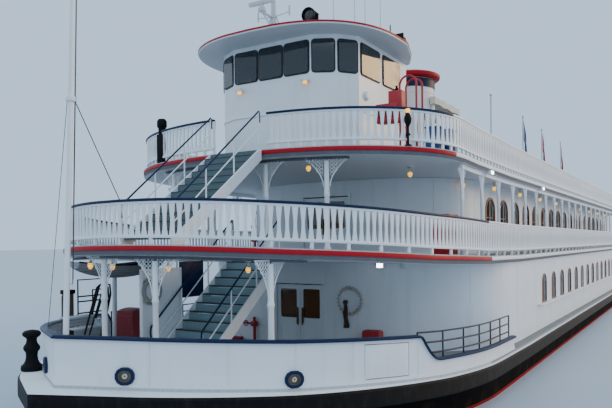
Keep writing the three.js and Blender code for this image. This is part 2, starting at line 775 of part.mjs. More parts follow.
// Radar mast with two turning scanners, a dome, a searchlight and aerials on the roof
function addRoofGear() {
  const [u, y] = MAST_AT;
  const lowU = u - LOW_SCANNER_REACH;
  const mast = joined([
    drum(u, y, ROOF_Z + GAP, MAST_TOP_Z, 0.11, 0.08),
    block(lowU - 0.07, u + 0.1, y - 0.06, y + 0.06, LOW_SCANNER_Z - 0.22, LOW_SCANNER_Z - 0.14),
    drum(lowU, y, LOW_SCANNER_Z - 0.16, LOW_SCANNER_Z - 0.02, 0.1),
  ]);
  add('radar_mast', mast, white);
  const scanner = (su, z, half) =>
    joined([
      drum(su, y, z - 0.02 + GAP, z + 0.08, 0.06),
      block(su - 0.06, su + 0.06, y - half, y + half, z + 0.06, z + 0.2),
    ]);
  add('radar_scanner_lower', scanner(lowU, LOW_SCANNER_Z, LOW_SCANNER_HALF), white);
  add('radar_scanner_upper', scanner(u, MAST_TOP_Z + 0.02, TOP_SCANNER_HALF), white);
  const [domeU, domeY] = DOME_AT;
  const dome = new THREE.SphereGeometry(0.22, 12, 8);
  dome.scale(1, 1, 0.7);
  dome.translate(STEM_X - domeU, domeY, ROOF_Z + 0.5);
  add('antenna_dome', joined([drum(domeU, domeY, ROOF_Z + GAP, ROOF_Z + 0.45, 0.05), dome]), white);
  const [lightU, lightY] = LIGHT_AT;
  add('searchlight_stand', drum(lightU, lightY, ROOF_Z + GAP, LIGHT_Z - 0.42, 0.09, 0.07), black);
  const barrel = new THREE.CylinderGeometry(0.24, 0.2, 0.42, 16);
  barrel.rotateZ(-Math.PI / 2).translate(STEM_X - lightU, lightY, LIGHT_Z);
  const yoke = [
    drum(lightU, lightY, LIGHT_Z - 0.42 + GAP, LIGHT_Z - 0.3, 0.06),
    block(lightU - 0.04, lightU + 0.04, lightY - 0.3, lightY + 0.3, LIGHT_Z - 0.34, LIGHT_Z - 0.28),
    block(lightU - 0.04, lightU + 0.04, lightY - 0.3, lightY - 0.25, LIGHT_Z - 0.34, LIGHT_Z + 0.05),
    block(lightU - 0.04, lightU + 0.04, lightY + 0.25, lightY + 0.3, LIGHT_Z - 0.34, LIGHT_Z + 0.05),
    axle(lightU, LIGHT_Z, lightY - 0.28, lightY + 0.28, 0.03, 8),
  ];
  add('searchlight', joined([barrel, ...yoke]), black);
  const feet = AERIALS.map(([au, ay]) => [au, ay]);
  const base = ribbon(feet, 0.04, -0.04, ROOF_Z + GAP, ROOF_Z + 0.08);
  const whips = AERIALS.map(([au, ay, top]) => drum(au, ay, ROOF_Z + 0.02, top, 0.035, 0.02, 6));
  add('aerials', joined([base, ...whips]), white);
}

// Round stair tower and the awning that runs aft from it on the sun deck
function addSunDeck() {
  const [u, y] = TOWER_AT;
  const foot = DECK3_Z + rise(u - TOWER_RADIUS) + GAP;
  add('stair_tower', drum(u, y, foot, TOWER_TOP_Z, TOWER_RADIUS, TOWER_RADIUS, 24), cream);
  const roof = joined([
    drum(u, y, TOWER_TOP_Z + GAP, TOWER_TOP_Z + 0.22, TOWER_RADIUS + 0.12, TOWER_RADIUS + 0.22, 24),
    drum(u, y, TOWER_TOP_Z + 0.2, TOWER_TOP_Z + 0.42, TOWER_RADIUS + 0.22, 0.5, 24),
  ]);
  add('stair_tower_roof', roof, crimson);
  const [[awningU0], [awningU1, awningY]] = AWNING_HALF;
  const inner = [
    [awningU0, awningY - 0.5],
    [awningU1 - 0.4, awningY - 0.5],
  ];
  const outlines = [AWNING_HALF, AWNING_HALF, inner];
  const top = stack(outlines.map((half, i) => ({ z: AWNING_Z[i], half })));
  const posts = AWNING_POSTS.flatMap((v) =>
    [AWNING_POST_Y, -AWNING_POST_Y].map((w) => {
      return block(v - 0.06, v + 0.06, w - 0.06, w + 0.06, DECK3_Z + GAP, AWNING_Z[1] - 0.1);
    }),
  );
  const round = drum(u, y, AWNING_Z[0] - 0.5, AWNING_Z[2] + 0.5, TOWER_RADIUS + 0.03, TOWER_RADIUS + 0.03, 24);
  add('awning', cut(joined([top, ...posts]), [round]), cream);
}

// Red pipe hoops and bell housing beside the wheelhouse
function addHoops() {
  const pieces = HOOPS.flatMap(([u, y]) => {
    const points = Array.from({ length: 7 }, (_, i) => {
      const angle = (i * Math.PI) / 6;
      return [u, y - HOOP_HALF * Math.cos(angle), HOOP_Z + HOOP_HALF * Math.sin(angle)];
    });
    const foot = DECK3_Z + rise(u - 0.05) + GAP;
    const legs = [-1, 1].map((side) => {
      const ly = y + side * HOOP_HALF;
      return block(u - 0.03, u + 0.03, ly - 0.03, ly + 0.03, foot, HOOP_Z + 0.02);
    });
    const arch = points.slice(1).map((point, i) => bar(points[i], point, 0.06));
    return [...legs, ...arch];
  });
  const [u0, y0] = HOOPS[0];
  const [u1] = HOOPS[1];
  const leg = y0 - HOOP_HALF;
  const tie = block(u0 - 0.03, u1 + 0.03, leg - 0.02, leg + 0.02, HOOP_Z - 0.9, HOOP_Z - 0.84);
  const box = block(u0 - 0.2, u0 + 0.2, leg - 0.7, leg + 0.01, HOOP_Z - 1.05, HOOP_Z - 0.5);
  add('bell_frame', joined([...pieces, tie, box]), crimson);
}

// Jackstaff at the stem, raked aft
function addJackstaff() {
  const foot = MAIN_Z + rise(STAFF_U - STAFF_FOOT) + GAP;
  const staff = new THREE.CylinderGeometry(0.045, 0.065, STAFF_LENGTH, 12);
  staff.rotateX(Math.PI / 2);
  staff.translate(0, 0, STAFF_LENGTH / 2);
  staff.rotateY(-STAFF_RAKE);
  staff.translate(STEM_X - STAFF_U, 0, foot + 0.06);
  const collar = drum(STAFF_U + Math.sin(STAFF_RAKE) * 6, 0, foot + 6, foot + 6.12, 0.11);
  add('jackstaff', joined([drum(STAFF_U, 0, foot, foot + 0.35, STAFF_FOOT), staff, collar]), white);
}

// Mooring post on the ledge outside the starboard bow
function addMooringPost() {
  const [u, y] = MOORING_POST_AT;
  const foot = GUARD_TOP_Z + rise(u) - POST_SETTLE;
  const profile = MOORING_PROFILE.map(([r, z]) => new THREE.Vector2(r, z));
  const post = new THREE.LatheGeometry(profile, 16).rotateX(Math.PI / 2);
  add('mooring_post', joined([post.translate(STEM_X - u, y, foot)]), black);
}

// Paddle wheel with its shaft, and the two beams whose bearings carry it
function addPaddleWheel() {
  const pieces = [axle(WHEEL_U, WHEEL_Z, -BEAM_Y - 0.35, BEAM_Y + 0.35, SHAFT_RADIUS, 24)];
  const centre = [STEM_X - WHEEL_U, 0, WHEEL_Z];
  for (const y of WHEEL_FRAMES) {
    pieces.push(axle(WHEEL_U, WHEEL_Z, y - 0.14, y + 0.14, 0.5, 24));
    const ring = Array.from({ length: WHEEL_ARMS * 2 + 1 }, (_, i) => (i * Math.PI) / WHEEL_ARMS);
    const outer = ring.map((a) => new THREE.Vector2(Math.cos(a), Math.sin(a)));
    const circle = (radius) => outer.slice(0, -1).map((p) => p.clone().multiplyScalar(radius));
    const rim = new THREE.Shape(circle(RIM_RADIUS + 0.06));
    rim.holes.push(new THREE.Path(circle(RIM_RADIUS - 0.06)));
    const hoop = new THREE.ExtrudeGeometry(rim, { depth: 0.1, bevelEnabled: false });
    pieces.push(hoop.rotateX(Math.PI / 2).translate(centre[0], y + 0.05, centre[2]));
  }
  for (let i = 0; i < WHEEL_ARMS; i += 1) {
    const angle = (i * 2 * Math.PI) / WHEEL_ARMS;
    const place = (geometry) => geometry.rotateY(angle).translate(...centre);
    for (const y of WHEEL_FRAMES) {
      const arm = new THREE.BoxGeometry(0.16, 0.12, WHEEL_RADIUS - 0.45);
      pieces.push(place(arm.translate(0, y, (WHEEL_RADIUS + 0.35) / 2)));
    }
    const bucket = new THREE.BoxGeometry(0.06, 2 * WHEEL_HALF, BUCKET_DEPTH);
    pieces.push(place(bucket.translate(0.1, 0, WHEEL_RADIUS - BUCKET_DEPTH / 2)));
  }
  add('paddle_wheel', joined(pieces), wheelRed);
  addPair(
    'stern_beam',
    (side) => {
      const y = side * BEAM_Y;
      const [y0, y1] = [y - BEAM_WIDTH / 2, y + BEAM_WIDTH / 2];
      const beam = block(...BEAM_U, y0, y1, ...BEAM_Z);
      const bearing = block(WHEEL_U - 0.45, WHEEL_U + 0.45, y0, y1, BEAM_Z[1] - 0.1, WHEEL_Z + 0.42);
      const apothem = SHAFT_RADIUS + GAP;
      const sides = 24;
      const bore = apothem / Math.cos(Math.PI / sides);
      const hole = axle(WHEEL_U, WHEEL_Z, y0 - 0.2, y1 + 0.2, bore, sides, Math.PI / sides);
      return cut(joined([beam, bearing]), [hole]);
    },
    white,
  );
}

// Rudders under the raked stern, each on its stock
function rudder(side) {
  const y = side * RUDDER_Y;
  const blade = block(RUDDER_U - 0.55, RUDDER_U + 1.45, y - 0.05, y + 0.05, 0.12, 0.98);
  const [, , , , , keelAft] = HULL_LEVELS[0];
  const [rakeZ, , , , , rakeAft] = HULL_LEVELS[1];
  const hullZ = (rakeZ * (RUDDER_U - 0.1 - keelAft)) / (rakeAft - keelAft);
  return joined([blade, drum(RUDDER_U, y, 0.2, hullZ - GAP, 0.1)]);
}

addHull();
addGuard();
add('main_deck', plate(MAIN_PLAN, onDeck(GUARD_Z + GAP), onDeck(MAIN_Z)), deckGrey);
addBulwark();
addPair('boarding_rail', boardingRail, navy);

const deck2Under = DECK2_Z - DECK_THICK;
const deck3Under = DECK3_Z - DECK_THICK;
add('main_house', houseWalls(MAIN_HOUSE_PLAN, MAIN_Z, deck2Under, []), white);
addPair('main_door', (side) => doorLeaf(side, MAIN_HOUSE_PLAN, MAIN_Z), white);
const mainPosts = [-MAIN_POST_Y[0], ...MAIN_POST_Y];
add('main_bow_posts', bowPosts(DECK2_PLAN, mainPosts, 4.2, MAIN_Z, deck2Under), white);
const [propU, propY] = SIDE_PROP_AT;
const propFoot = MAIN_Z + rise(propU - POST / 2) + GAP;
const propTop = deck2Under + rise(propU + POST / 2) - GAP;
add('side_prop', drum(propU, propY, propFoot, propTop, POST / 2, POST / 2, 12), white);
const [lowU0, lowU1] = LOWER_STAIR_U;
const [highU0, highU1] = UPPER_STAIR_U;
add('lower_stair', flight(LOWER_STAIR_U, MAIN_Z + rise(lowU0), DECK2_Z + rise(lowU1)), treadGreen);

const wellSides = [STAIR_Y[0] - 0.06, STAIR_Y[1] + 0.06];
const well = block(lowU0 + 0.7, lowU1 + GAP, ...wellSides, DECK2_Z - 1, DECK2_Z + 1);
add('boiler_deck', cut(plate(DECK2_PLAN, onDeck(deck2Under), onDeck(DECK2_Z)), [well]), deckGrey);
const band2 = [onDeck(DECK2_Z - 0.19), onDeck(DECK2_Z - 0.02)];
add('boiler_deck_edge', ribbon(ringPath(DECK2_PLAN), 0.04, GAP, ...band2, true), crimson);
const feet2 = railFeet(DECK2_PLAN, DECK2_Z, RAIL_FEET_DECK2);
add('boiler_deck_rail', joined([...balustrade(ringPath(DECK2_PLAN), DECK2_Z, true), ...feet2]), white);
add('boiler_house', houseWalls(DECK2_HOUSE_PLAN, DECK2_Z, deck3Under, saloonWindows()), white);
const panes = ribbon(ringPath(DECK2_HOUSE_PLAN), -WALL - GAP, -WALL - 0.03, ...paneLevels(), true);
add('boiler_house_glass', panes, glassDark);
addPair('boiler_door', (side) => doorLeaf(side, DECK2_HOUSE_PLAN, DECK2_Z), white);
const boilerPosts = BOILER_POST_Y.flatMap((y) => [-y, y]);
add('boiler_bow_posts', bowPosts(DECK3_PLAN, boilerPosts, 3.6, DECK2_Z, deck3Under), white);
addPair('boiler_side_posts', sidePosts, white);
add('upper_stair', flight(UPPER_STAIR_U, DECK2_Z + rise(highU0), DECK3_Z + rise(highU1)), treadGreen);

add('sun_deck', plate(DECK3_PLAN, onDeck(deck3Under), onDeck(DECK3_Z)), deckGrey);
const band3 = [onDeck(DECK3_Z - 0.19), onDeck(DECK3_Z - 0.02)];
add('sun_deck_edge', ribbon(ringPath(DECK3_PLAN), 0.04, GAP, ...band3, true), crimson);
const feet3 = railFeet(DECK3_PLAN, DECK3_Z, RAIL_FEET_DECK3);
const rail3 = joined([...balustrade(ringPath(DECK3_PLAN), DECK3_Z, true), ...feet3]);
const stairHead = block(5, 6.3, ...wellSides, DECK3_Z - 0.5, DECK3_Z + 2);
add('sun_deck_rail', cut(rail3, [stairHead]), white);
addWheelhouse();
addRoofGear();
addSunDeck();
addHoops();

addJackstaff();
addMooringPost();
const canvasZ = MAIN_Z + rise(4.05) + GAP;
add('canvas_box', block(4.05, 4.65, -2.75, -2.1, canvasZ, canvasZ + 1.4), canvasRed);
const lockerZ = DECK2_Z + rise(8.6) + GAP;
add('hose_locker', block(8.6, 9.4, 5.0, 5.5, lockerZ, lockerZ + 1.15), crimson);
add('engine_block', block(47, 51, -1.6, 1.6, MAIN_Z + GAP, MAIN_Z + 1.7), steel);
addPaddleWheel();
addPair('rudder', rudder, black);

export default group;
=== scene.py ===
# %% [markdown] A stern-wheel paddle steamer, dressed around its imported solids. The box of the
# bare solids is kept from the start, because the dressed boat has to stay inside it.

# %% Frame
import math

import bpy
from mathutils import Matrix, Vector


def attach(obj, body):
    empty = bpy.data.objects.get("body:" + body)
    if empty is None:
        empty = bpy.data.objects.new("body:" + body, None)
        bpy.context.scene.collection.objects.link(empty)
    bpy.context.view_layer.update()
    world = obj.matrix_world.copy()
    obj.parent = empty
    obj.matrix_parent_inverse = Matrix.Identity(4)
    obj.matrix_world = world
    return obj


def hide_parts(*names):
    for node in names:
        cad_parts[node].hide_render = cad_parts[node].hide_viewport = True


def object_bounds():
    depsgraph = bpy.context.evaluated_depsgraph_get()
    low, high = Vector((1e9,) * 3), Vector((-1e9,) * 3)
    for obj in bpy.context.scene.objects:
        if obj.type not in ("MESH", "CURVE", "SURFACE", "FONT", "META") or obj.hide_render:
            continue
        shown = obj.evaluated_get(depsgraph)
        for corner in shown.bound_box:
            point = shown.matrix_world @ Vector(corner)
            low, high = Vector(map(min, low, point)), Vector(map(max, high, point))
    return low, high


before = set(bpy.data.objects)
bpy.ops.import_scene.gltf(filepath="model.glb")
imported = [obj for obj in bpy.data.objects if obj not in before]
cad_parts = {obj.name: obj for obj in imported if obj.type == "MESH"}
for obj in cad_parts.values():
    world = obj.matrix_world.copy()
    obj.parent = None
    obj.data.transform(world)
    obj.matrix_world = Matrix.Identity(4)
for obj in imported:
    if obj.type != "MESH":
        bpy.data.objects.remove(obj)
cad_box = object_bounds()

# %% [markdown]
# The boat was drawn at its real size: u runs aft from the stem, y to port and z up from the
# flat bottom, all in real metres. The model is half as large, so one function turns a real
# place into a model place, and every size below can be read as a real one.

# %% Scale and levels
SCALE = 0.5
STEM = 31.71
WATERLINE = 1.85
GUARD_TOP = 2.94
MAIN_Z = 3.0
DECK2_Z = 6.05
DECK3_Z = 8.94
DECK_THICK = 0.24
CABIN_FLOOR = 10.6
SILL = 11.72
LINTEL = 12.68
CABIN_TOP = 12.85
ROOF_Z = 13.05
SEAT = 0.004
# u, rise
SHEER = [(-0.6, 0.67), (3.0, 0.386), (7.0, 0.161), (10.5, 0.044), (14.3, 0.0)]


def at(u, y, z):
    """The model place of a real place."""
    return Vector((STEM - u, y, z)) * SCALE


def rise(u):
    """How far the decks have risen towards the bow at u."""
    for (u0, z0), (u1, z1) in zip(SHEER, SHEER[1:]):
        if u < u1:
            return z0 + (z1 - z0) * (u - u0) / (u1 - u0)
    return 0.0


def main_z(u):
    return MAIN_Z + rise(u)


def boiler_z(u):
    return DECK2_Z + rise(u)


def sun_z(u):
    return DECK3_Z + rise(u)


print("levels:", MAIN_Z, DECK2_Z, DECK3_Z, "rise at the stem", round(rise(0), 2))

# %% [markdown]
# Decks, walls and railings all follow the same kind of plan: a rounded bow, then straight
# sides, then a square stern. A superellipse gives the bow, and with an angle as its
# parameter the points crowd where it bends, so few of them look smooth.

# %% Plans
MAIN_PLAN = dict(front=0.25, curve=9.6, half=6.3, power=1.8, aft=56.5, stem=(-0.11, 0.73))
DECK2_PLAN = dict(front=1.6, curve=8.92, half=6.11, power=2.19, aft=56.3)
DECK3_PLAN = dict(front=5.89, curve=3.7, half=5.76, power=2.39, aft=54.5)
HOUSE1_PLAN = dict(front=9.5, curve=5.0, half=6.0, power=2.3, aft=54.6)
HOUSE2_PLAN = dict(front=11.3, curve=3.0, half=4.6, power=2.3, aft=52.4)
ROOF_PLAN = dict(front=6.75, curve=3.4, half=3.5, power=2.5, aft=10.6)
ROOF_TAIL = [(11.86, 3.1), (12.75, 2.68)]
FINE_BOW = 0.18
BOW_POINTS = 28


def half_breadth(plan, u):
    """Half the width of a plan at u. The main plan is finer forward and ends in a sharp stem."""
    tip, shoulder = plan.get("stem", (0, 0))
    if u < shoulder:
        return half_breadth(plan, shoulder) * (u - tip) / (shoulder - tip)
    share = min(max((plan["front"] + plan["curve"] - u) / plan["curve"], 0), 1)
    full = plan["half"] * (1 - share ** plan["power"]) ** (1 / plan["power"])
    return full * (1 - FINE_BOW * share ** 8) if "stem" in plan else full


def front_at(plan, y):
    share = abs(y / plan["half"]) ** plan["power"]
    return plan["front"] + plan["curve"] * (1 - (1 - share) ** (1 / plan["power"]))


def offset(points, inset):
    """A port half outline moved inwards; its first point stays on the middle line."""
    mirror = (points[1][0], -points[1][1])
    moved_in = []
    for i, (u, y) in enumerate(points):
        before = points[i - 1] if i else mirror
        after = points[i + 1] if i + 1 < len(points) else (u + 1, y)
        turns = [
            Vector((b[1] - a[1], a[0] - b[0])).normalized()
            for a, b in ((before, (u, y)), ((u, y), after))
        ]
        inwards = (turns[0] + turns[1]).normalized()
        reach = inset / max(inwards.dot(turns[0]), 0.4)
        moved_in.append((u + inwards.x * reach, y + inwards.y * reach))
    return moved_in


def port_side(plan, inset=0.0, aft=None, extra=()):
    """The port half of a plan from the bow aft, moved in by inset, as (u, y)."""
    front, curve = plan["front"], plan["curve"]
    tip, shoulder = plan.get("stem", (front, front))
    starts = [tip, shoulder] if "stem" in plan else [front]
    aheads = [math.cos(math.pi / 2 * k / BOW_POINTS) ** (2 / plan["power"]) for k in range(1, BOW_POINTS + 1)]
    bends = [front + curve * (1 - ahead) for ahead in aheads]
    end = (aft or plan["aft"]) - (0 if aft else inset)
    knots = [u for u, _ in SHEER if u > front + curve]
    places = starts + sorted(u for u in {*bends, *knots, *extra} if shoulder + 0.02 < u < end - 0.02) + [end]
    return offset([(u, half_breadth(plan, u)) for u in places], inset)


print("half plans ready")

# %% [markdown]
# A railing runs all the way round, a coloured cap only round the bow, and a wall along one
# side. Each path is put together from the port half, mirrored where it is needed, so that
# everything on a deck follows the same outline.

# %% Paths round a plan
def mirrored(points):
    return [(u, -y) for u, y in reversed(points)]


def ring(plan, inset=0.0, corner=0.12):
    """The whole plan as a closed path, with its two stern corners a little rounded."""
    side = port_side(plan, inset)
    end, half = side[-1]
    arc = [math.radians(30 * k) for k in range(1, 3)]
    round_off = [(end - corner + corner * math.sin(a), half - corner + corner * math.cos(a)) for a in arc]
    side = side[:-1] + [(end - corner, half), *round_off, (end, half - corner)]
    return side + [point for point in mirrored(side) if abs(point[1]) > 0.01]


def bow(plan, inset, aft, extra=()):
    """The path round the bow from starboard to port, with its ends at u = aft."""
    side = port_side(plan, inset, aft, extra)
    return mirrored(side)[:-1] + side


def aft_of(plan, inset, start):
    """The path from start on the port side, round the stern, to start on the starboard side."""
    side = side_between(plan, inset, start, plan["aft"], 1)[:-1]
    end, half = plan["aft"] - inset, side[-1][1]
    side += [(end - 0.12, half), (end - 0.03, half - 0.03), (end, half - 0.12)]
    return side + mirrored(side)


def side_between(plan, inset, start, end, side):
    """A stretch of one side from start aft to end."""
    whole = port_side(plan, inset, extra=(start, end))
    first = min(range(len(whole)), key=lambda i: abs(whole[i][0] - start))
    last = min(range(len(whole)), key=lambda i: abs(whole[i][0] - end))
    return [(u, side * y) for u, y in whole[first:last + 1]]


print("points round the main deck:", len(ring(MAIN_PLAN)))

# %% [markdown] These helpers do by script what a modeller does by hand: pick an object,
# run an operator, apply a modifier.

# %% Modelling helpers
def clear():
    if bpy.context.mode != "OBJECT":
        bpy.ops.object.mode_set(mode="OBJECT")
    bpy.ops.object.select_all(action="DESELECT")


def pick(*objects):
    clear()
    for item in objects:
        item.select_set(True)
    bpy.context.view_layer.objects.active = objects[0]
    return objects[0]


def modify(item, kind, **settings):
    """Adds a modifier, sets it up and applies it."""
    pick(item)
    modifier = item.modifiers.new(kind.title(), kind)
    for key, value in settings.items():
        setattr(modifier, key, value)
    bpy.ops.object.modifier_apply(modifier=modifier.name)
    return item


def tidy(item):
    """Joins doubled points, closes holes and turns all faces outwards."""
    pick(item)
    bpy.ops.object.mode_set(mode="EDIT")
    bpy.ops.mesh.select_all(action="SELECT")
    bpy.ops.mesh.remove_doubles(threshold=1e-5)
    bpy.ops.mesh.fill_holes(sides=0)
    bpy.ops.mesh.normals_make_consistent(inside=False)
    bpy.ops.object.mode_set(mode="OBJECT")
    return item


def joined(parts):
    pick(*parts)
    if len(parts) > 1:
        bpy.ops.object.join()
    return bpy.context.object


def copies(pattern, places):
    """The pattern at each place, a matrix, every copy with its own mesh, joined to one."""
    parts = []
    for place in places:
        copy = pattern.copy()
        copy.data = pattern.data.copy()
        copy.data.transform(place)
        bpy.context.scene.collection.objects.link(copy)
        parts.append(copy)
    bpy.data.objects.remove(pattern)
    return joined(parts)


print("selecting and joining ready")

# %% [markdown]
# A shape is made at the origin and then carried to its place by a matrix, because one matrix
# can stand it up, turn it and move it at once. Holes are cut with a boolean, which leaves
# clean edges where a wall has to fit its windows.

# %% Places and cuts
def standing(u, y, z, heading=0.0):
    """The matrix that stands a shape at a real place, turned by heading seen from above."""
    return Matrix.Translation(at(u, y, z)) @ Matrix.Rotation(heading, 4, "Z")


def shift(x, y, z):
    """The matrix of a move in real metres along the model's axes."""
    return Matrix.Translation(Vector((x, y, z)) * SCALE)


LAID_ACROSS = Matrix.Rotation(math.pi / 2, 4, "X")
LAID_ALONG = Matrix.Rotation(math.pi / 2, 4, "Y")
TO_ORIGIN = Matrix.Translation(-at(0, 0, 0))


def moved(item, place):
    item.data.transform(place)
    return item


def cut(item, cutters):
    """Takes the cutters' volume out of a shape."""
    tool = joined(cutters)
    modify(item, "BOOLEAN", object=tool, operation="DIFFERENCE", solver="EXACT", use_self=True)
    bpy.data.objects.remove(tool)
    return item


print("helpers ready")

# %% [markdown]
# Six basic shapes make almost everything on a boat: a block with softened edges, a round
# bar or pipe, a flat board cut to an outline, a turned shape, a ring, and a strip that runs
# along a path. Each starts as a primitive that is then moved, extruded or spun.

# %% Blocks, pipes and boards
def block(u, y, z, soft=0.012):
    """A block between two real values each way, its edges bevelled."""
    clear()
    low, high = at(max(u), min(y), min(z)), at(min(u), max(y), max(z))
    bpy.ops.mesh.primitive_cube_add(size=1, location=(low + high) / 2)
    box = bpy.context.object
    box.scale = high - low
    bpy.ops.object.transform_apply(location=True, rotation=True, scale=True)
    return modify(box, "BEVEL", width=soft * SCALE, segments=2) if soft else box


def about(middle, half):
    """The two values half a width either side of a middle."""
    return middle - half, middle + half


def pipe(points, radius, closed=False, sides=8):
    """A round bar through real places (u, y, z)."""
    clear()
    bpy.ops.curve.primitive_nurbs_path_add()
    path = bpy.context.object
    path.location = (0, 0, 0)
    path.data.splines.clear()
    spline = path.data.splines.new("POLY")
    spline.points.add(len(points) - 1)
    for point, place in zip(spline.points, points):
        point.co = (*at(*place), 1)
    spline.use_cyclic_u = closed
    path.data.bevel_depth = radius * SCALE
    path.data.bevel_resolution = (sides - 4) // 2
    path.data.use_fill_caps = not closed
    bpy.ops.object.convert(target="MESH")
    return tidy(bpy.context.object)


def upright(u, y, low, high, radius, sides=8):
    """A round bar that stands on end."""
    return pipe([(u, y, low), (u, y, high)], radius, sides=sides)


def board(outline, thick):
    """An upright board, cut to an outline of real (x, z), with its middle on the origin."""
    clear()
    bpy.ops.mesh.primitive_circle_add(vertices=len(outline), fill_type="NGON")
    flat = bpy.context.object
    for vertex, (x, z) in zip(flat.data.vertices, outline):
        vertex.co = Vector((x, -thick / 2, z)) * SCALE
    bpy.ops.object.mode_set(mode="EDIT")
    bpy.ops.mesh.select_all(action="SELECT")
    bpy.ops.mesh.extrude_region_move(TRANSFORM_OT_translate={"value": (0, thick * SCALE, 0)})
    bpy.ops.object.mode_set(mode="OBJECT")
    return tidy(flat)


print("blocks, pipes and boards ready")

# %% [markdown]
# Two more shapes are round. A profile spun about the upright axis makes posts, lamps and
# domes, and a torus makes every ring, from the ship's wheel to the turns of a rope. A profile
# that starts and ends on the axis comes out closed.

# %% Turned shapes and rings
def turned(profile, steps=24):
    """A shape spun round the upright axis from a profile of real (radius, height)."""
    clear()
    bpy.ops.mesh.primitive_circle_add(vertices=len(profile), fill_type="NOTHING")
    shape = bpy.context.object
    for vertex, (radius, height) in zip(shape.data.vertices, profile):
        vertex.co = Vector((radius, 0, height)) * SCALE
    if profile[0][0] == 0 and profile[-1][0] == 0:
        ends = {0, len(profile) - 1}
        for edge in shape.data.edges:
            edge.select = set(edge.vertices) == ends
        for vertex in shape.data.vertices:
            vertex.select = vertex.index in ends
        bpy.ops.object.mode_set(mode="EDIT")
        bpy.ops.mesh.select_mode(type="EDGE")
        bpy.ops.mesh.delete(type="EDGE")
    bpy.ops.object.mode_set(mode="EDIT")
    bpy.ops.mesh.select_mode(type="VERT")
    bpy.ops.mesh.select_all(action="SELECT")
    bpy.ops.mesh.spin(steps=steps, angle=math.tau, center=(0, 0, 0), axis=(0, 0, 1))
    bpy.ops.object.mode_set(mode="OBJECT")
    return tidy(shape)


def solid(profile, steps=24):
    """A turned shape that is closed to its axis at both ends."""
    return turned([(0, profile[0][1]), *profile, (0, profile[-1][1])], steps)


def cylinder(radius, low, high, steps=24):
    return solid([(radius, low), (radius, high)], steps)


def hoop(radius, thick, steps=24, sides=8):
    """A ring lying flat on the origin."""
    clear()
    bpy.ops.mesh.primitive_torus_add(
        major_segments=steps, minor_segments=sides, major_radius=radius * SCALE, minor_radius=thick * SCALE
    )
    return bpy.context.object


def level(height):
    """A level that follows the sheer."""
    return lambda u: height + rise(u)


print("basic shapes ready")

# %% [markdown]
# Hulls, decks, walls and rails are all skins over a row of like sections. A grid primitive
# has just the faces such a skin needs, so its points are moved onto the sections, its seam is
# merged and its ends are filled. The result is one closed shape with exact sides.

# %% Strips along a path
def skin(sections, looped=False):
    """A closed skin over sections, each a list of places. looped joins the last to the first."""
    rows, columns = len(sections), len(sections[0])
    steps = rows if looped else rows - 1
    clear()
    bpy.ops.mesh.primitive_grid_add(x_subdivisions=columns, y_subdivisions=steps, size=2)
    grid = bpy.context.object
    for vertex in grid.data.vertices:
        column = round((vertex.co.x + 1) / 2 * columns) % columns
        row = round((vertex.co.y + 1) / 2 * steps) % rows
        vertex.co = sections[row][column]
    return tidy(grid)


def swept(path, section, looped=False):
    """A strip along a path of real (u, y); section(u) gives its corners as (outwards, z)."""
    count = len(path)
    places = [Vector(point) for point in path]
    ahead = [(places[(i + 1) % count] - places[i]).normalized() for i in range(count)]
    if not looped:
        ahead[-1] = ahead[-2]
    sections = []
    for i, place in enumerate(places):
        before = ahead[i - 1] if i or looped else ahead[0]
        middle = (before + ahead[i]).normalized()
        left = Vector((-middle.y, middle.x)) / max(middle.dot(ahead[i]), 0.5)
        corners = [(place + left * out, z) for out, z in section(place.x)]
        sections.append([at(spot.x, spot.y, z) for spot, z in corners])
    return skin(sections, looped)


def strip(path, thick, low, high, looped=False, soft=0.0):
    """A strip of rectangular section centred on its path. low and high may follow the sheer."""
    def heights(u):
        return [value(u) if callable(value) else value for value in (low, high)]

    def section(u):
        z0, z1 = heights(u)
        return [(thick / 2, z0), (thick / 2, z1), (-thick / 2, z1), (-thick / 2, z0)]

    made = swept(path, section, looped)
    return modify(made, "BEVEL", width=soft * SCALE, segments=2, angle_limit=0.7) if soft else made


def slab(plan, low, high, inset=0.0):
    """A deck over a whole plan between two levels."""
    sections = []
    for u, y in port_side(plan, inset):
        z0, z1 = low(u), high(u)
        sections.append([at(u, -y, z0), at(u, y, z0), at(u, y, z1), at(u, -y, z1)])
    return skin(sections)


print("skin, swept, strip and slab ready")

# %% [markdown]
# Shader nodes read best as sums, so one small class wraps a socket and lets Python's own
# operators add the Math nodes. Any other node comes from one function that takes the node's
# kind, its settings and its inputs.

# %% Shader sums
def make(nodes, kind, settings=None, inputs=None, output=0):
    node = nodes.new("ShaderNode" + kind)
    for key, value in (settings or {}).items():
        if key == "stops":
            ramp = node.color_ramp
            while len(ramp.elements) < len(value):
                ramp.elements.new(1)
            for element, (position, colour) in zip(ramp.elements, value):
                element.position = position
                element.color = (*colour, 1)
        else:
            setattr(node, key, value)
    for key, value in (inputs or {}).items():
        if isinstance(value, Wire):
            nodes.id_data.links.new(value.socket, node.inputs[key])
        else:
            node.inputs[key].default_value = value
    return Wire(nodes, node.outputs[output])


class Wire:
    """A socket that can be used like a number."""

    def __init__(self, nodes, socket):
        self.nodes = nodes
        self.socket = socket

    def math(self, operation, first, second=0.0):
        return make(self.nodes, "Math", {"operation": operation}, {0: first, 1: second})

    def __add__(self, other):
        return self.math("ADD", self, other)

    def __sub__(self, other):
        return self.math("SUBTRACT", self, other)

    def __rsub__(self, other):
        return self.math("SUBTRACT", other, self)

    def __mul__(self, other):
        return self.math("MULTIPLY", self, other)

    def __truediv__(self, other):
        return self.math("DIVIDE", self, other)

    __radd__ = __add__
    __rmul__ = __mul__

    def fraction(self):
        return self.math("FRACT", self)

    def between(self, low, high):
        """0 below low, 1 above high, straight in between."""
        inputs = {"Value": self, "From Min": low, "From Max": high}
        return make(self.nodes, "MapRange", {"clamp": True}, inputs)


print("sockets can be added up")

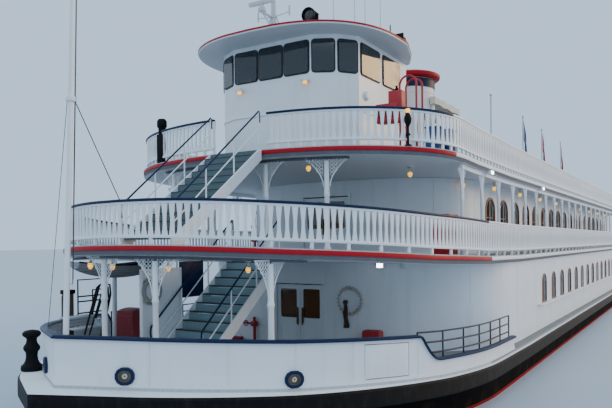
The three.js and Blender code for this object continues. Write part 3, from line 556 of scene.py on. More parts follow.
# %% [markdown]
# Every finish starts from the Principled shader and the boat's own coordinates. A second small
# class holds them, with the patterns that most finishes share, so that a recipe is only a few
# lines long: its colour, its wear and its bump.

# %% Finishes
class Finish:
    """A material with a Principled shader, built up from patterns in the boat's own metres."""

    def __init__(self, name, colour, roughness=0.5, **constants):
        self.material = bpy.data.materials.new(name)
        self.material.use_nodes = True
        self.nodes = self.material.node_tree.nodes
        self.shader = self.nodes["Principled BSDF"]
        self.base = (*colour, 1)
        self.set("Base Color", self.base)
        self.set("Roughness", roughness)
        for key, value in constants.items():
            self.set(key.replace("_", " ").title().replace("Ior", "IOR"), value)
        self.place = make(self.nodes, "TexCoord", output="Object")

    def set(self, name, value):
        if isinstance(value, Wire):
            self.nodes.id_data.links.new(value.socket, self.shader.inputs[name])
        else:
            self.shader.inputs[name].default_value = value

    def axis(self, name):
        return make(self.nodes, "SeparateXYZ", inputs={0: self.place}, output=name)

    def facing(self, name="Z"):
        normal = make(self.nodes, "NewGeometry", output="Normal")
        return make(self.nodes, "SeparateXYZ", inputs={0: normal}, output=name)

    def noise(self, scale, stretch=(1, 1, 1), detail=3.0):
        spot = make(self.nodes, "Mapping", inputs={"Vector": self.place, "Scale": stretch})
        return make(self.nodes, "TexNoise", inputs={"Vector": spot, "Scale": scale, "Detail": detail})

    def blend(self, amount, first, second):
        """One colour where amount is 0, the other where it is 1."""
        colours = [value if isinstance(value, Wire) else (*value[:3], 1) for value in (first, second)]
        inputs = {0: amount, 6: colours[0], 7: colours[1]}
        return make(self.nodes, "Mix", {"data_type": "RGBA"}, inputs, output=2)

    def bump(self, height, distance):
        inputs = {"Height": height, "Distance": distance, "Strength": 1.0}
        self.set("Normal", make(self.nodes, "Bump", inputs=inputs))


print("shader sums ready")

# %% [markdown]
# White marine enamel covers most of the boat. On the real one it is never a flat white: it
# is a little duller in patches, rain has drawn faint streaks down it, and its film is gently
# uneven. The same recipe in other colours makes the navy rails and the crimson deck edges.

# %% Enamel
def enamel(name, colour, roughness=0.38, streaks=0.16, grime=(0.36, 0.33, 0.29), shine=0.5):
    finish = Finish(name, colour, roughness, specular_ior_level=shine)
    patches = finish.noise(0.9).between(0.35, 0.7)
    runs = finish.noise(5.0, stretch=(1.6, 1.6, 0.12)).between(0.52, 0.82)
    tone = finish.blend(patches * 0.5, finish.base, tuple(value * 0.9 for value in colour))
    finish.set("Base Color", finish.blend(runs * streaks, tone, grime))
    finish.set("Roughness", patches * 0.1 + (roughness - 0.04))
    finish.bump(finish.noise(55.0, detail=2.0) * 0.35 + finish.noise(3.0, detail=1.0), 0.0012)
    return finish


def timber_enamel(name, colour):
    """Painted timber: the grain still shows through as fine upright lines."""
    finish = enamel(name, colour, roughness=0.45, streaks=0.12)
    grain = finish.noise(38.0, stretch=(1.0, 1.0, 0.06), detail=4.0)
    finish.bump(grain.between(0.35, 0.75), 0.0012)
    return finish


WHITE = (0.80, 0.83, 0.86)
NAVY = (0.004, 0.013, 0.050)
CRIMSON = (0.40, 0.004, 0.014)
BLACK = (0.006, 0.0055, 0.006)
CREAM = (0.76, 0.73, 0.68)


def enamel_with_painted_shade(name, top, under):
    """Enamel with one colour on what looks up and a greyer one, painted shade, on what looks out or down."""
    finish = Finish(name, top, 0.45)
    up = finish.facing().between(0.3, 0.7)
    patches = finish.noise(0.9).between(0.35, 0.7)
    shade = finish.blend(patches * 0.4, under, tuple(value * 0.85 for value in under))
    finish.set("Base Color", finish.blend(up, shade, finish.base))
    finish.set("Roughness", patches * 0.1 + 0.45)
    finish.bump(finish.noise(50.0, detail=2.0), 0.001)
    return finish


white = enamel("white_enamel", WHITE)
roof_paint_with_shade = enamel_with_painted_shade("roof_enamel_with_shade", WHITE, (0.66, 0.68, 0.72))
white_timber = timber_enamel("white_timber_enamel", WHITE)
navy = enamel("navy_enamel", NAVY, roughness=0.45, streaks=0.02, shine=0.2)
crimson = enamel("crimson_enamel", CRIMSON, roughness=0.5, streaks=0.02, shine=0.2)
red = enamel("signal_red_enamel", (0.40, 0.006, 0.014), roughness=0.45, streaks=0.04)
black = enamel("black_enamel", BLACK, roughness=0.6, streaks=0.01, shine=0.12)
cream = enamel("cream_enamel", CREAM, roughness=0.45)
# The white of the mast, scanners, dome, aerials and flagpoles is painted down to grey: painted shade.
shaded_mast_white = enamel("shaded_mast_enamel", (0.50, 0.53, 0.57), roughness=0.5)
# A dark enamel for the deck fascias and bow headers: painted shade under the decks.
painted_shade_dark = enamel("painted_shade_enamel", (0.11, 0.115, 0.135), roughness=0.7, shine=0.2)
bin_blue = enamel("blue_enamel", (0.03, 0.09, 0.28), roughness=0.4, streaks=0.06)
print("enamels ready")

# %% [markdown]
# The hull is black above the water, with a boot-top line and oxide red below it. Its plates
# are welded in strakes, so thin seams run along and across it, and rust weeps from them near
# the waterline. All of that is worked out from the height and the length on the boat.

# %% Hull paint
def hull_paint():
    finish = Finish("hull_paint", BLACK, 0.8, specular_ior_level=0.1, ior=1.2)
    height, along = finish.axis("Z"), finish.axis("X")
    water = WATERLINE * SCALE
    below = 1 - height.between(water - 0.010, water - 0.006)
    line = height.between(water - 0.012, water - 0.010) * (1 - height.between(water + 0.05, water + 0.052))
    rust_runs = finish.noise(7.0, stretch=(1.0, 1.0, 0.15)).between(0.56, 0.75)
    rust = rust_runs * (1 - height.between(water, water + 0.35)) * 0.4
    colour = finish.blend(below, finish.base, (0.16, 0.025, 0.018))
    colour = finish.blend(line, colour, (0.30, 0.02, 0.02))
    colour = finish.blend(finish.noise(2.0).between(0.45, 0.8) * 0.2, colour, (0.018, 0.018, 0.02))
    finish.set("Base Color", finish.blend(rust, colour, (0.17, 0.07, 0.03)))
    finish.set("Roughness", finish.noise(3.0).between(0.3, 0.8) * 0.15 + 0.75)
    seam_across = (along / 1.5).fraction().between(0.0, 0.012)
    seam_along = (height / 0.42 + 0.3).fraction().between(0.0, 0.035)
    finish.bump(seam_across * seam_along + finish.noise(1.1, detail=1.0) * 1.6, 0.004)
    return finish


hull_black = hull_paint()
print("hull paint ready")

# %% [markdown]
# Deck plates are grey non-slip paint on top and painted planking underneath, where the next
# deck down has its ceiling. One material does both: the way a face looks, up or down,
# chooses between them.

# %% Decks
def deck_paint(name, top, ceiling, plank=0.075):
    finish = Finish(name, top, 0.85)
    up = finish.facing().between(-0.2, 0.2)
    worn = finish.noise(1.3, detail=5.0).between(0.45, 0.75)
    grit = finish.noise(160.0, detail=2.0)
    surface = finish.blend(worn * 0.5, finish.base, tuple(value * 1.45 for value in top))
    joint = (finish.axis("Y") / plank).fraction().between(0.0, 0.07)
    under = finish.blend(joint, tuple(value * 0.35 for value in ceiling), ceiling)
    finish.set("Base Color", finish.blend(up, under, surface))
    finish.set("Roughness", up * 0.35 + 0.5)
    finish.bump(grit * up * 0.6 + joint * (1 - up), 0.0022)
    return finish


deck_grey = deck_paint("deck_paint", (0.20, 0.215, 0.21), (0.74, 0.77, 0.81))
tread_green = deck_paint("tread_paint", (0.19, 0.27, 0.30), (0.13, 0.19, 0.21))
bare_grit = deck_paint("nosing_grit", (0.02, 0.022, 0.024), (0.02, 0.022, 0.024))
riser_paint = deck_paint("riser_paint", (0.22, 0.33, 0.37), (0.20, 0.31, 0.35))
# The upper stair's risers are a darker copy of the riser paint: painted shade.
shaded_riser = deck_paint("shaded_riser", (0.09, 0.13, 0.14), (0.08, 0.12, 0.13))
print("decks ready")

# %% [markdown]
# The rest are small recipes: tinted glass that lets a little of the inside through, glowing
# lamp globes, brass, steel, rubber, rope, canvas with its weave, and the oiled timber of the
# paddle wheel.

# %% Other finishes
def tinted_glass(name, colour):
    finish = Finish(name, colour, 0.05, specular_ior_level=0.8)
    finish.set("Roughness", finish.noise(6.0).between(0.4, 0.8) * 0.08 + 0.03)
    finish.set("Alpha", 0.7)
    return finish


def glow(name, colour, strength):
    finish = Finish(name, colour, 0.3, emission_strength=strength)
    core = finish.noise(30.0, detail=1.0).between(0.2, 0.9)
    finish.set("Emission Color", finish.blend(core * 0.3, finish.base, (1.0, 0.66, 0.08)))
    return finish


def metal(name, colour, roughness, scratches=70.0):
    finish = Finish(name, colour, roughness, metallic=1.0)
    rub = finish.noise(scratches, stretch=(1.0, 1.0, 0.1), detail=4.0).between(0.3, 0.8)
    finish.set("Base Color", finish.blend(rub * 0.3, finish.base, tuple(value * 0.6 for value in colour)))
    finish.set("Roughness", rub * 0.15 + roughness)
    finish.bump(rub, 0.0006)
    return finish


def canvas(name, colour):
    finish = Finish(name, colour, 0.85, sheen_weight=0.3)
    weave = (finish.axis("X") * 260.0).fraction() * (finish.axis("Z") * 260.0).fraction()
    fade = finish.noise(2.2, detail=4.0).between(0.35, 0.75)
    finish.set("Base Color", finish.blend(fade * 0.5, finish.base, tuple(value * 0.6 for value in colour)))
    finish.bump(weave * 0.5 + finish.noise(9.0), 0.002)
    return finish


def oiled_timber(name, colour, grain_along="X"):
    finish = Finish(name, colour, 0.6)
    stretch = {"X": (0.06, 1, 1), "Y": (1, 0.06, 1), "Z": (1, 1, 0.06)}[grain_along]
    grain = finish.noise(22.0, stretch=stretch, detail=6.0).between(0.3, 0.75)
    wet = finish.noise(1.4, detail=3.0).between(0.4, 0.7)
    wood = finish.blend(grain, tuple(value * 0.55 for value in colour), finish.base)
    finish.set("Base Color", finish.blend(wet * 0.35, wood, (0.05, 0.03, 0.025)))
    finish.set("Roughness", grain * 0.25 + 0.4)
    finish.bump(grain, 0.003)
    return finish


def rope_fibre(name, colour, groove_shade):
    finish = Finish(name, colour, 0.9)
    # The grooves between the strands are painted darker: painted shade.
    lay = (finish.axis("Z") * 42.0 + finish.axis("X") * 30.0).fraction().between(0.1, 0.5)
    finish.set("Base Color", finish.blend(lay, groove_shade, finish.base))
    finish.bump(lay, 0.002)
    return finish


def clinker_paint():
    """Overlapping planks: each one is shaded at its lower edge."""
    finish = Finish("clinker_grey", (0.30, 0.31, 0.32), 0.6)
    lap = (finish.axis("Z") * 26.0).fraction()
    edge = lap.between(0.0, 0.18)
    finish.set("Base Color", finish.blend(edge, (0.07, 0.072, 0.075), finish.base))
    finish.bump(lap, 0.006)
    return finish


print("recipes ready")

# %% [markdown]
# Each recipe is now used with its own colours. Glass, lamps, metals, cloths, ropes and timbers
# are named for what they are and not for where they go, because several pieces share them.

# %% The other finishes in use
glass = tinted_glass("tinted_glass", (0.018, 0.026, 0.032))
door_glass = tinted_glass("door_glass", (0.16, 0.08, 0.035))
warm_glow = glow("warm_lamp_glow", (1.0, 0.50, 0.03), 1.7)
cool_glow = glow("cool_lamp_glow", (0.85, 0.93, 1.0), 9.0)
brass = metal("brass", (0.70, 0.46, 0.17), 0.28)
bronze = metal("dark_bronze", (0.15, 0.095, 0.05), 0.4)
old_bronze = metal("old_bronze", (0.16, 0.13, 0.10), 0.5)
steel = metal("galvanised_steel", (0.52, 0.54, 0.56), 0.4)
rubber = enamel("black_rubber", (0.02, 0.02, 0.022), roughness=0.65, streaks=0.08)
dark_canvas = canvas("dark_red_canvas", (0.26, 0.016, 0.026))
blue_canvas = canvas("blue_canvas", (0.02, 0.05, 0.20))
canopy_cream = canvas("cream_canvas", (0.74, 0.68, 0.56))
paddle_red = oiled_timber("paddle_timber", (0.40, 0.045, 0.025), "Y")
varnish = oiled_timber("varnished_timber", (0.36, 0.15, 0.055), "Z")
old_timber = oiled_timber("old_timber", (0.13, 0.085, 0.04), "Z")
rope = rope_fibre("rope", (0.52, 0.46, 0.34), (0.26, 0.22, 0.15))
pale_rope = rope_fibre("pale_rope", (0.66, 0.62, 0.58), (0.34, 0.30, 0.28))
brown_cloth = canvas("brown_cloth", (0.07, 0.03, 0.02))
dark_line = enamel("dark_line", (0.05, 0.04, 0.045), roughness=0.8, streaks=0.02)
life_ring_paint = enamel("life_ring_paint", (0.30, 0.29, 0.29), roughness=0.5, streaks=0.25)
step_grey = enamel("step_grey", (0.42, 0.47, 0.52), roughness=0.6)
clinker_grey = clinker_paint()
print("all finishes ready")

# %% [markdown]
# A finished piece is its parts joined into one mesh, smooth except at its edges, riding on
# the CAD body that it moves with. Where it stands for a CAD node, that node is hidden and
# stays in the physics model only.

# %% Finishing a piece
made = []


def piece(name, parts, finish, body="boat", replaces=(), smooth=35):
    item = joined(parts)
    item.name = item.data.name = name
    item.data.materials.clear()
    item.data.materials.append(finish.material)
    pick(item)
    bpy.ops.object.shade_smooth_by_angle(angle=math.radians(smooth))
    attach(item, body)
    if replaces:
        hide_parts(*replaces)
    made.append(item)
    return item


NODE_FINISHES = {
    hull_black: ["hull", "rudder_port", "rudder_starboard"],
    navy: ["boarding_rail_port", "boarding_rail_starboard"],
    white: ["wheelhouse_base", "wheelhouse_walls", "wheelhouse_roof", "radar_mast",
            "radar_scanner_lower", "radar_scanner_upper", "antenna_dome", "aerials"],
    white_timber: ["stern_beam_port", "stern_beam_starboard"],
    cream: ["stair_tower", "awning"],
    crimson: ["stair_tower_roof"],
    red: ["bell_frame", "hose_locker"],
    black: ["searchlight", "searchlight_stand", "mooring_post"],
    steel: ["engine_block"],
    glass: ["boiler_house_glass", "wheelhouse_glass"],
    paddle_red: ["paddle_wheel"],
    dark_canvas: ["canvas_box"],
}
for finish, names in NODE_FINISHES.items():
    for name in names:
        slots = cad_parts[name].data.materials
        slots.clear()
        slots.append(finish.material)
print("CAD nodes with their own finish:", sum(map(len, NODE_FINISHES.values())))

# %% [markdown]
# The hull shows as a black band under the guard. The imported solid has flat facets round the
# bow, so a smooth skin through the same three levels stands for it: flat bottom, a turn just
# under the waterline and the deck edge, each level with its own bow.

# %% Hull and guard
# height, share of the sheer, front, length of the bow, half width, aft end
HULL_LEVELS = [
    (0.0, 0.0, 3.4, 11.5, 5.85, 46.5),
    (1.6, 0.5, 0.9, 10.4, 6.15, 56.5),
    (2.8, 1.0, 0.25, 9.6, 6.3, 56.5),
]
GUARD_BOW = 0.62
GUARD_SIDE = 0.17
GUARD_LOW = 2.5


def hull_ring(z, share, front, curve, half, aft):
    """One level of the hull as places; share says how much of the sheer it follows."""
    port = []
    for u, y in port_side(MAIN_PLAN):
        in_bow = (u - MAIN_PLAN["front"]) / MAIN_PLAN["curve"]
        bow_end = MAIN_PLAN["front"] + MAIN_PLAN["curve"]
        in_side = (u - bow_end) / (MAIN_PLAN["aft"] - bow_end)
        place = front + in_bow * curve if in_bow < 1 else front + curve + in_side * (aft - front - curve)
        port.append(at(place, y * half / MAIN_PLAN["half"], z + share * rise(u)))
    starboard = [Vector((place.x, -place.y, place.z)) for place in reversed(port[1:])]
    return port + starboard


piece("hull_shell", [skin([hull_ring(*row) for row in HULL_LEVELS])], hull_black, replaces=["hull"],
      smooth=25)


def guard_section(u):
    share = min(max(u - MAIN_PLAN["front"], 0) / MAIN_PLAN["curve"], 1)
    out = GUARD_SIDE + (GUARD_BOW - GUARD_SIDE) * (1 - share) ** 2
    low, high = GUARD_LOW + rise(u), GUARD_TOP + rise(u)
    return [
        (0.002, low), (out - 0.06, low), (out, low + 0.06), (out, high - 0.05), (out - 0.05, high),
        (0.002, high)
    ]


def guard_paint():
    """Black on the rubbing face, white on the ledge."""
    finish = Finish("guard_paint", BLACK, 0.6, specular_ior_level=0.12)
    top = finish.facing().between(0.75, 0.8)
    scuff = finish.noise(12.0, stretch=(1, 1, 0.4), detail=5.0).between(0.5, 0.7)
    dark = finish.blend(scuff * 0.25, finish.base, (0.035, 0.033, 0.032))
    finish.set("Base Color", finish.blend(top, dark, WHITE))
    finish.bump(scuff, 0.002)
    return finish


guard = swept(ring(MAIN_PLAN), guard_section, True)
for vertex in guard.data.vertices:
    vertex.co.x = min(vertex.co.x, cad_box[1][0])
piece("rubbing_guard", [guard], guard_paint(), replaces=["guard"])
print("hull and guard:", [len(item.data.polygons) for item in made])

# %% [markdown]
# The three decks are slabs with a smooth edge. Round the two upper ones run a fascia painted dark
# as shade and a band that is crimson forward and white aft. That red line is what the eye follows
# on the real boat. The lower stair comes up through an opening in the second deck.

# %% Deck slabs and their red bands
STAIR_Y = (-0.67, 1.11)
LOWER_STAIR = (3.2, 6.8)
UPPER_STAIR = (2.25, 5.84)
COLOUR_ENDS = (10.6, 8.7)
BAND_LOW = 0.14
BAND_HIGH = 0.03

main_deck = slab(MAIN_PLAN, level(2.8014), level(MAIN_Z))
piece("main_deck_plate", [main_deck], deck_grey, replaces=["main_deck"])

second = slab(DECK2_PLAN, level(DECK2_Z - DECK_THICK), level(DECK2_Z))
well = block((LOWER_STAIR[0] + 0.7, LOWER_STAIR[1]), (STAIR_Y[0] - 0.06, STAIR_Y[1] + 0.06),
             about(DECK2_Z, 1), soft=0)
piece("boiler_deck_plate", [cut(second, [well])], deck_grey, replaces=["boiler_deck"])
third = slab(DECK3_PLAN, level(DECK3_Z - DECK_THICK), level(DECK3_Z))
piece("sun_deck_plate", [third], deck_grey, replaces=["sun_deck"])

for name, plan, top, end in [
    ("boiler_deck", DECK2_PLAN, DECK2_Z, COLOUR_ENDS[0]),
    ("sun_deck", DECK3_PLAN, DECK3_Z, COLOUR_ENDS[1])
]:
    band = strip(bow(plan, -0.02, end), 0.036, level(top - BAND_LOW), level(top - BAND_HIGH), soft=0.008)
    piece(f"{name}_red_band", [band], crimson, replaces=[f"{name}_edge"])
    aft_band = strip(
        aft_of(plan, -0.02, end), 0.036, level(top - BAND_LOW), level(top - BAND_HIGH), soft=0.008
    )
    piece(f"{name}_aft_band", [aft_band], white_timber)
    # The fascia is painted dark as shade under the deck edge.
    fascia = strip(ring(plan, -0.008), 0.02, level(top - DECK_THICK), level(top - 0.142), True)
    piece(f"{name}_fascia", [fascia], painted_shade_dark)
print("decks and bands:", len(made), "pieces so far")

# %% [markdown]
# The railing is the boat's signature: hundreds of flat boards, each sawn to the same wavy
# outline, so that two neighbours leave a long diamond between them. One board is cut once and
# copied along the deck's plan at an even pitch. Feet lift the lower rail off the deck.

# %% Railings
RAIL_HEIGHT = 1.05
RAIL_LOW = 0.15
RAIL_INSET = 0.1
UNDER_RAIL = (0.93, 0.99)
CAP_DEEP = 0.065
CAP_WIDE = 0.12
PITCH = 0.185
# height over the deck, half width
BOARD_HALVES = [(0.2, 0.07), (0.3, 0.056), (0.38, 0.044), (0.47, 0.037), (0.6, 0.036), (0.74, 0.05),
                (0.86, 0.062), (0.94, 0.069), (0.99, 0.07)]


def walk(path, pitch, looped=True):
    """Evenly spaced spots along a path as (u, y, heading), heading for a board to face out."""
    ends = path + path[:1] if looped else path
    lengths = [math.dist(a, b) for a, b in zip(ends, ends[1:])]
    count = max(round(sum(lengths) / pitch), 1)
    step = sum(lengths) / count
    spots, passed, k = [], 0.0, 0
    for i in range(count + (0 if looped else 1)):
        target = i * step
        while k < len(lengths) - 1 and passed + lengths[k] < target:
            passed += lengths[k]
            k += 1
        share = (target - passed) / lengths[k]
        (u0, y0), (u1, y1) = ends[k], ends[k + 1]
        heading = math.atan2(y1 - y0, -(u1 - u0))
        spots.append((u0 + (u1 - u0) * share, y0 + (y1 - y0) * share, heading))
    return spots


def baluster():
    right = [(half, z) for z, half in BOARD_HALVES]
    left = [(-half, z) for z, half in reversed(BOARD_HALVES)]
    return board(right + left, 0.035)


def railing(name, plan, deck, node, foot_pitch, colour_end, gap=None):
    """A whole railing round a deck; gap is the stretch (y0, y1) of the bow left open."""
    def kept(u, y):
        return gap is None or u > plan["front"] + 1.0 or not gap[0] < y < gap[1]

    loop = ring(plan, RAIL_INSET)
    boards = copies(
        baluster(),
        [standing(u, y, deck + rise(u), turn) for u, y, turn in walk(loop, PITCH) if kept(u, y)]
    )
    feet_at = [standing(u, y, deck + rise(u), turn) for u, y, turn in walk(loop, foot_pitch) if kept(u, y)]
    foot = board([(0.045, 0), (0.035, 0.16), (-0.035, 0.16), (-0.045, 0)], 0.05)
    low = strip(loop, 0.075, level(deck + RAIL_LOW), level(deck + RAIL_LOW + 0.07), True, soft=0.012)
    under = strip(loop, 0.06, level(deck + UNDER_RAIL[0]), level(deck + UNDER_RAIL[1]), True, soft=0.008)
    cap_low, cap_high = level(deck + RAIL_HEIGHT - CAP_DEEP), level(deck + RAIL_HEIGHT)
    cap = strip(bow(plan, RAIL_INSET, colour_end), CAP_WIDE, cap_low, cap_high, soft=0.02)
    aft_cap = strip(aft_of(plan, RAIL_INSET, colour_end), CAP_WIDE, cap_low, cap_high, soft=0.02)
    rails = [low, under]
    if gap:
        ends = (plan["front"] - 0.5, plan["front"] + 0.6)
        rails = [cut(rail, [block(ends, gap, (deck - 0.5, deck + 2.5), soft=0)]) for rail in rails]
        cap = cut(cap, [block(ends, gap, (deck - 0.5, deck + 2.5), soft=0)])
    piece(f"{name}_balusters", [boards, copies(foot, feet_at), *rails, aft_cap], white_timber,
          replaces=[node])
    piece(f"{name}_handrail", [cap], navy)


stair_gap = (STAIR_Y[0] - 0.06, STAIR_Y[1] + 0.06)
railing("boiler_deck", DECK2_PLAN, DECK2_Z, "boiler_deck_rail", 0.93, COLOUR_ENDS[0])
railing("sun_deck", DECK3_PLAN, DECK3_Z, "sun_deck_rail", PITCH * 2, COLOUR_ENDS[1], stair_gap)
print("railing boards:", made[-4].name, len(made[-4].data.polygons), "faces")

# %% [markdown]
# Doors, windows and frames are all cut from the same outlines: a rectangle with rounded
# corners, or one with an arched top. A surround follows such an outline as a thin frame.

# %% Outlines and surrounds
def rounded(half, low, high, radius=0.08):
    """A rectangle with rounded corners as (x, z), counter-clockwise from its lower right."""
    middles = [(half - radius, low + radius), (half - radius, high - radius),
               (radius - half, high - radius), (radius - half, low + radius)]
    outline = []
    for k, (x, z) in enumerate(middles):
        for step in range(4):
            turn = math.radians(90 * (k - 1) + 30 * step)
            outline.append((x + radius * math.cos(turn), z + radius * math.sin(turn)))
    return outline


def arched(half, low, spring, crown):
    """A window outline with an elliptical head between spring and crown."""
    head = [math.radians(18 * step) for step in range(11)]
    return [(half, low)] + [
        (half * math.cos(a), spring + (crown - spring) * math.sin(a)) for a in head
    ] + [(-half, low)]


def surround(outline, wide, thick):
    """A frame of width wide round an outline, standing thick in front of its wall and behind."""
    count = len(outline)
    sections = []
    for i, (x, z) in enumerate(outline):
        before, after = Vector(outline[i - 1]), Vector(outline[(i + 1) % count])
        here = Vector((x, z))
        turns = [Vector((d.y, -d.x)) for d in ((here - before).normalized(), (after - here).normalized())]
        out = (turns[0] + turns[1]).normalized()
        reach = wide / max(out.dot(turns[0]), 0.5)
        rim = here + out * reach
        corners = [
            (here.x, -thick, here.y), (rim.x, -thick, rim.y), (rim.x, thick, rim.y),
            (here.x, thick, here.y)
        ]
        sections.append([Vector(corner) * SCALE for corner in corners])
    return skin(sections, looped=True)


def along(a, b, share, z=0.0, out=0.0):
    """The matrix of a shape standing on the line from a to b, moved out to its left."""
    step = Vector(b) - Vector(a)
    spot = Vector(a) + step * share + Vector((-step.y, step.x)).normalized() * out
    return standing(spot.x, spot.y, z, math.atan2(step.y, -step.x))


print("outlines ready")

# %% [markdown]
# The bulwark is a welded wall round the bow. Abaft the gates it sweeps down in a curve to a
# low coaming, and pipe rails take over its height. A rounded navy cap runs along its top.

# %% Bulwark and cap
BULWARK_HEIGHT = 0.98
PLATE_INSET = 0.06
PLATE_THICK = 0.075
# u, height of the bulwark
BULWARK_SWEEP = [(6.15, 0.98), (6.22, 0.90), (6.3, 0.78), (6.45, 0.6), (6.6, 0.47), (6.7, 0.41), (6.8, 0.38)]
BOARDING_END = 12.6
GATES = (4.46, 5.73)
GATE_SILL = 0.08
SIDES = {"port": 1, "starboard": -1}
sweep_places = [u for u, _ in BULWARK_SWEEP]


def bulwark_height(u):
    for (u0, h0), (u1, h1) in zip(BULWARK_SWEEP, BULWARK_SWEEP[1:]):
        if u < u1:
            return h0 + (h1 - h0) * max(u - u0, 0) / (u1 - u0)
    return BULWARK_SWEEP[-1][1]


def bulwark_top(u):
    return main_z(u) + bulwark_height(u)


wall_path = bow(MAIN_PLAN, PLATE_INSET, BOARDING_END, sweep_places)
wall = strip(wall_path, PLATE_THICK, level(MAIN_Z + 0.002), bulwark_top)
gate_low, gate_high = MAIN_Z + GATE_SILL, MAIN_Z + BULWARK_HEIGHT - GATE_SILL
holes = [
    strip(side_between(MAIN_PLAN, PLATE_INSET, *GATES, side), 0.5, level(gate_low), level(gate_high))
    for side in SIDES.values()
]
wall = cut(wall, holes)
seams = [pipe([(u, side * (half_breadth(MAIN_PLAN, u) - 0.018), main_z(u) + z) for z in (0.02, 0.94)], 0.012)
         for u in (0.9, 1.9, 3.0, 4.2, 6.05) for side in SIDES.values()]
foot = strip(
    bow(MAIN_PLAN, 0.015, BOARDING_END, sweep_places), 0.02, level(MAIN_Z + 0.002),
    level(MAIN_Z + 0.075)
)
stays = [
    block(
        about(u, 0.015),
        (side * (half_breadth(MAIN_PLAN, u) - 0.3), side * (half_breadth(MAIN_PLAN, u) - 0.1)),
        (main_z(u) + 0.003, main_z(u) + 0.8), soft=0
    )
    for u in (1.6, 2.4, 3.4, 4.2) for side in SIDES.values()
]
piece("bulwark_wall", [wall, foot, *seams, *stays], white, replaces=["bulwark"])


def cap_section(u):
    top = bulwark_top(u)
    return [
        (0.095, top), (0.105, top + 0.03), (0.06, top + 0.066), (-0.06, top + 0.066),
        (-0.095, top + 0.03), (-0.085, top)
    ]


cap_path = bow(MAIN_PLAN, 0.05, BOARDING_END, sweep_places)
piece("bulwark_cap_rail", [swept(cap_path, cap_section)], navy, replaces=["bulwark_cap"])
print("bulwark wall and cap:", len(made), "pieces so far")

# %% [markdown]
# The gate on either side is a leaf of the same curved strip as the wall, a little smaller than
# its opening so that it can swing on its pin. Two ribs stiffen it on the inside.

# %% Bulwark gates
GATE_CLEARANCE = 0.022
hinge_u = GATES[0] + 0.036
for name, side in SIDES.items():
    node = f"bulwark_gate_{name}"
    leaf_path = side_between(MAIN_PLAN, PLATE_INSET, hinge_u, GATES[1] - GATE_CLEARANCE, side)
    leaf = strip(
        leaf_path, PLATE_THICK, level(gate_low + GATE_CLEARANCE), level(gate_high - GATE_CLEARANCE),
        soft=0.008
    )
    pin_y = side * (half_breadth(MAIN_PLAN, hinge_u) - 0.03)
    pin = upright(hinge_u, pin_y, gate_low + rise(hinge_u) + 0.004, gate_high + rise(hinge_u) - 0.02, 0.02)
    inner = side_between(MAIN_PLAN, 0.11, hinge_u + 0.1, GATES[1] - 0.1, side)
    ribs = [strip(inner, 0.03, level(gate_low + z), level(gate_low + z + 0.05)) for z in (0.12, 0.62)]
    piece(f"gate_leaf_{name}", [leaf, pin, *ribs], white, body=node, replaces=[node])
print("bulwark:", len(made), "pieces so far")

# %% [markdown]
# Mooring lines pass through fairleads: thick navy rings welded to the outside of the bulwark,
# with a bronze lining. The pipe rails of the boarding gap stand just inside the coaming.

# %% Fairleads and boarding rails
# u, height over the deck, radius, stretch
FAIRLEADS = [(0.64, 0.235, 0.12, 0.02), (2.95, 0.20, 0.12, 0.03)]
rings, linings, bundles = [], [], []
for u, z, radius, stretch in FAIRLEADS:
    for side in SIDES.values():
        y = half_breadth(MAIN_PLAN, u)
        slope = math.atan2(half_breadth(MAIN_PLAN, u + 0.1) - half_breadth(MAIN_PLAN, u - 0.1), 0.2)
        oval = [(math.cos(a) * radius + math.copysign(stretch, math.cos(a)), math.sin(a) * radius)
                for a in [math.radians(15 + 30 * k) for k in range(12)]]
        place = standing(u, side * (y - 0.005), main_z(u) + z, -side * slope)
        rings.append(modify(moved(surround(oval, 0.07, 0.045), place), "BEVEL", width=0.008, segments=2))
        linings.append(moved(surround([(x * 0.8, h * 0.8) for x, h in oval], 0.03, 0.03), place))
        linings.append(moved(board([(x * 0.85, h * 0.85) for x, h in oval], 0.012), place))
        bundles.append(moved(hoop(0.04, 0.022, 14, 6), place @ LAID_ACROSS))
piece("fairlead_rings", rings, navy)
piece("fairlead_linings", linings, old_bronze)
piece("fairlead_rope_eyes", bundles, pale_rope)

BOARDING_FROM = 6.2
PIPE_INSET = 0.195
PIPE_TOP = 1.08
for name, side in SIDES.items():
    bars = []
    for height, start in [(PIPE_TOP, BOARDING_FROM), (0.82, 6.4), (0.56, 6.75)]:
        line = side_between(MAIN_PLAN, PIPE_INSET, start, BOARDING_END - 0.02, side)
        bars.append(pipe([(u, y, main_z(u) + height) for u, y in line], 0.024))
    line = side_between(MAIN_PLAN, PIPE_INSET, BOARDING_FROM, BOARDING_END - 0.02, side)
    for u, y, _ in walk(line, 1.05, looped=False):
        bars.append(upright(u, y, main_z(u) + 0.005, main_z(u) + PIPE_TOP, 0.022))
    node = f"boarding_rail_{name}"
    piece(f"boarding_pipes_{name}", bars, navy, replaces=[node])
print("fairleads and boarding rails:", len(made), "pieces so far")

# %% [markdown]
# The deckhouse on the main deck is a plain white box with a rounded front. A pair of glazed
# doors stands in the flat middle of the bow, and a row of small arched windows runs along
# each side above a ledge.

# %% Main deckhouse
WALL = 0.12
DOOR_HALF = 0.92
DOOR_HEIGHT = 2.1
CUT_DEEP = 0.5
BAY = 1.95
MAIN_WINDOWS = [18.7 + BAY * i for i in range(17)]
MAIN_WINDOW = arched(0.35, 1.08, 1.85, 2.15)


def house_wall(plan, deck, ceiling):
    """The walls of a deckhouse with the doorway already cut in its front."""
    low, high = level(deck + 0.002), lambda u: ceiling + rise(u) - (0.008 if u < SHEER[-1][0] else 0.001)
    walls = strip(ring(plan, WALL / 2, corner=0.05), WALL, low, high, True)
    top = deck + rise(plan["front"]) + DOOR_HEIGHT
    doorway = block(about(plan["front"], 0.5), (-DOOR_HALF, DOOR_HALF), (deck - 0.5, top), soft=0)
    return cut(walls, [doorway])


def side_places(stations, y, z):
    """A place at each station on both sides, facing out."""
    return [standing(u, side * y, z, 0.0 if side < 0 else math.pi) for u in stations for side in (1, -1)]


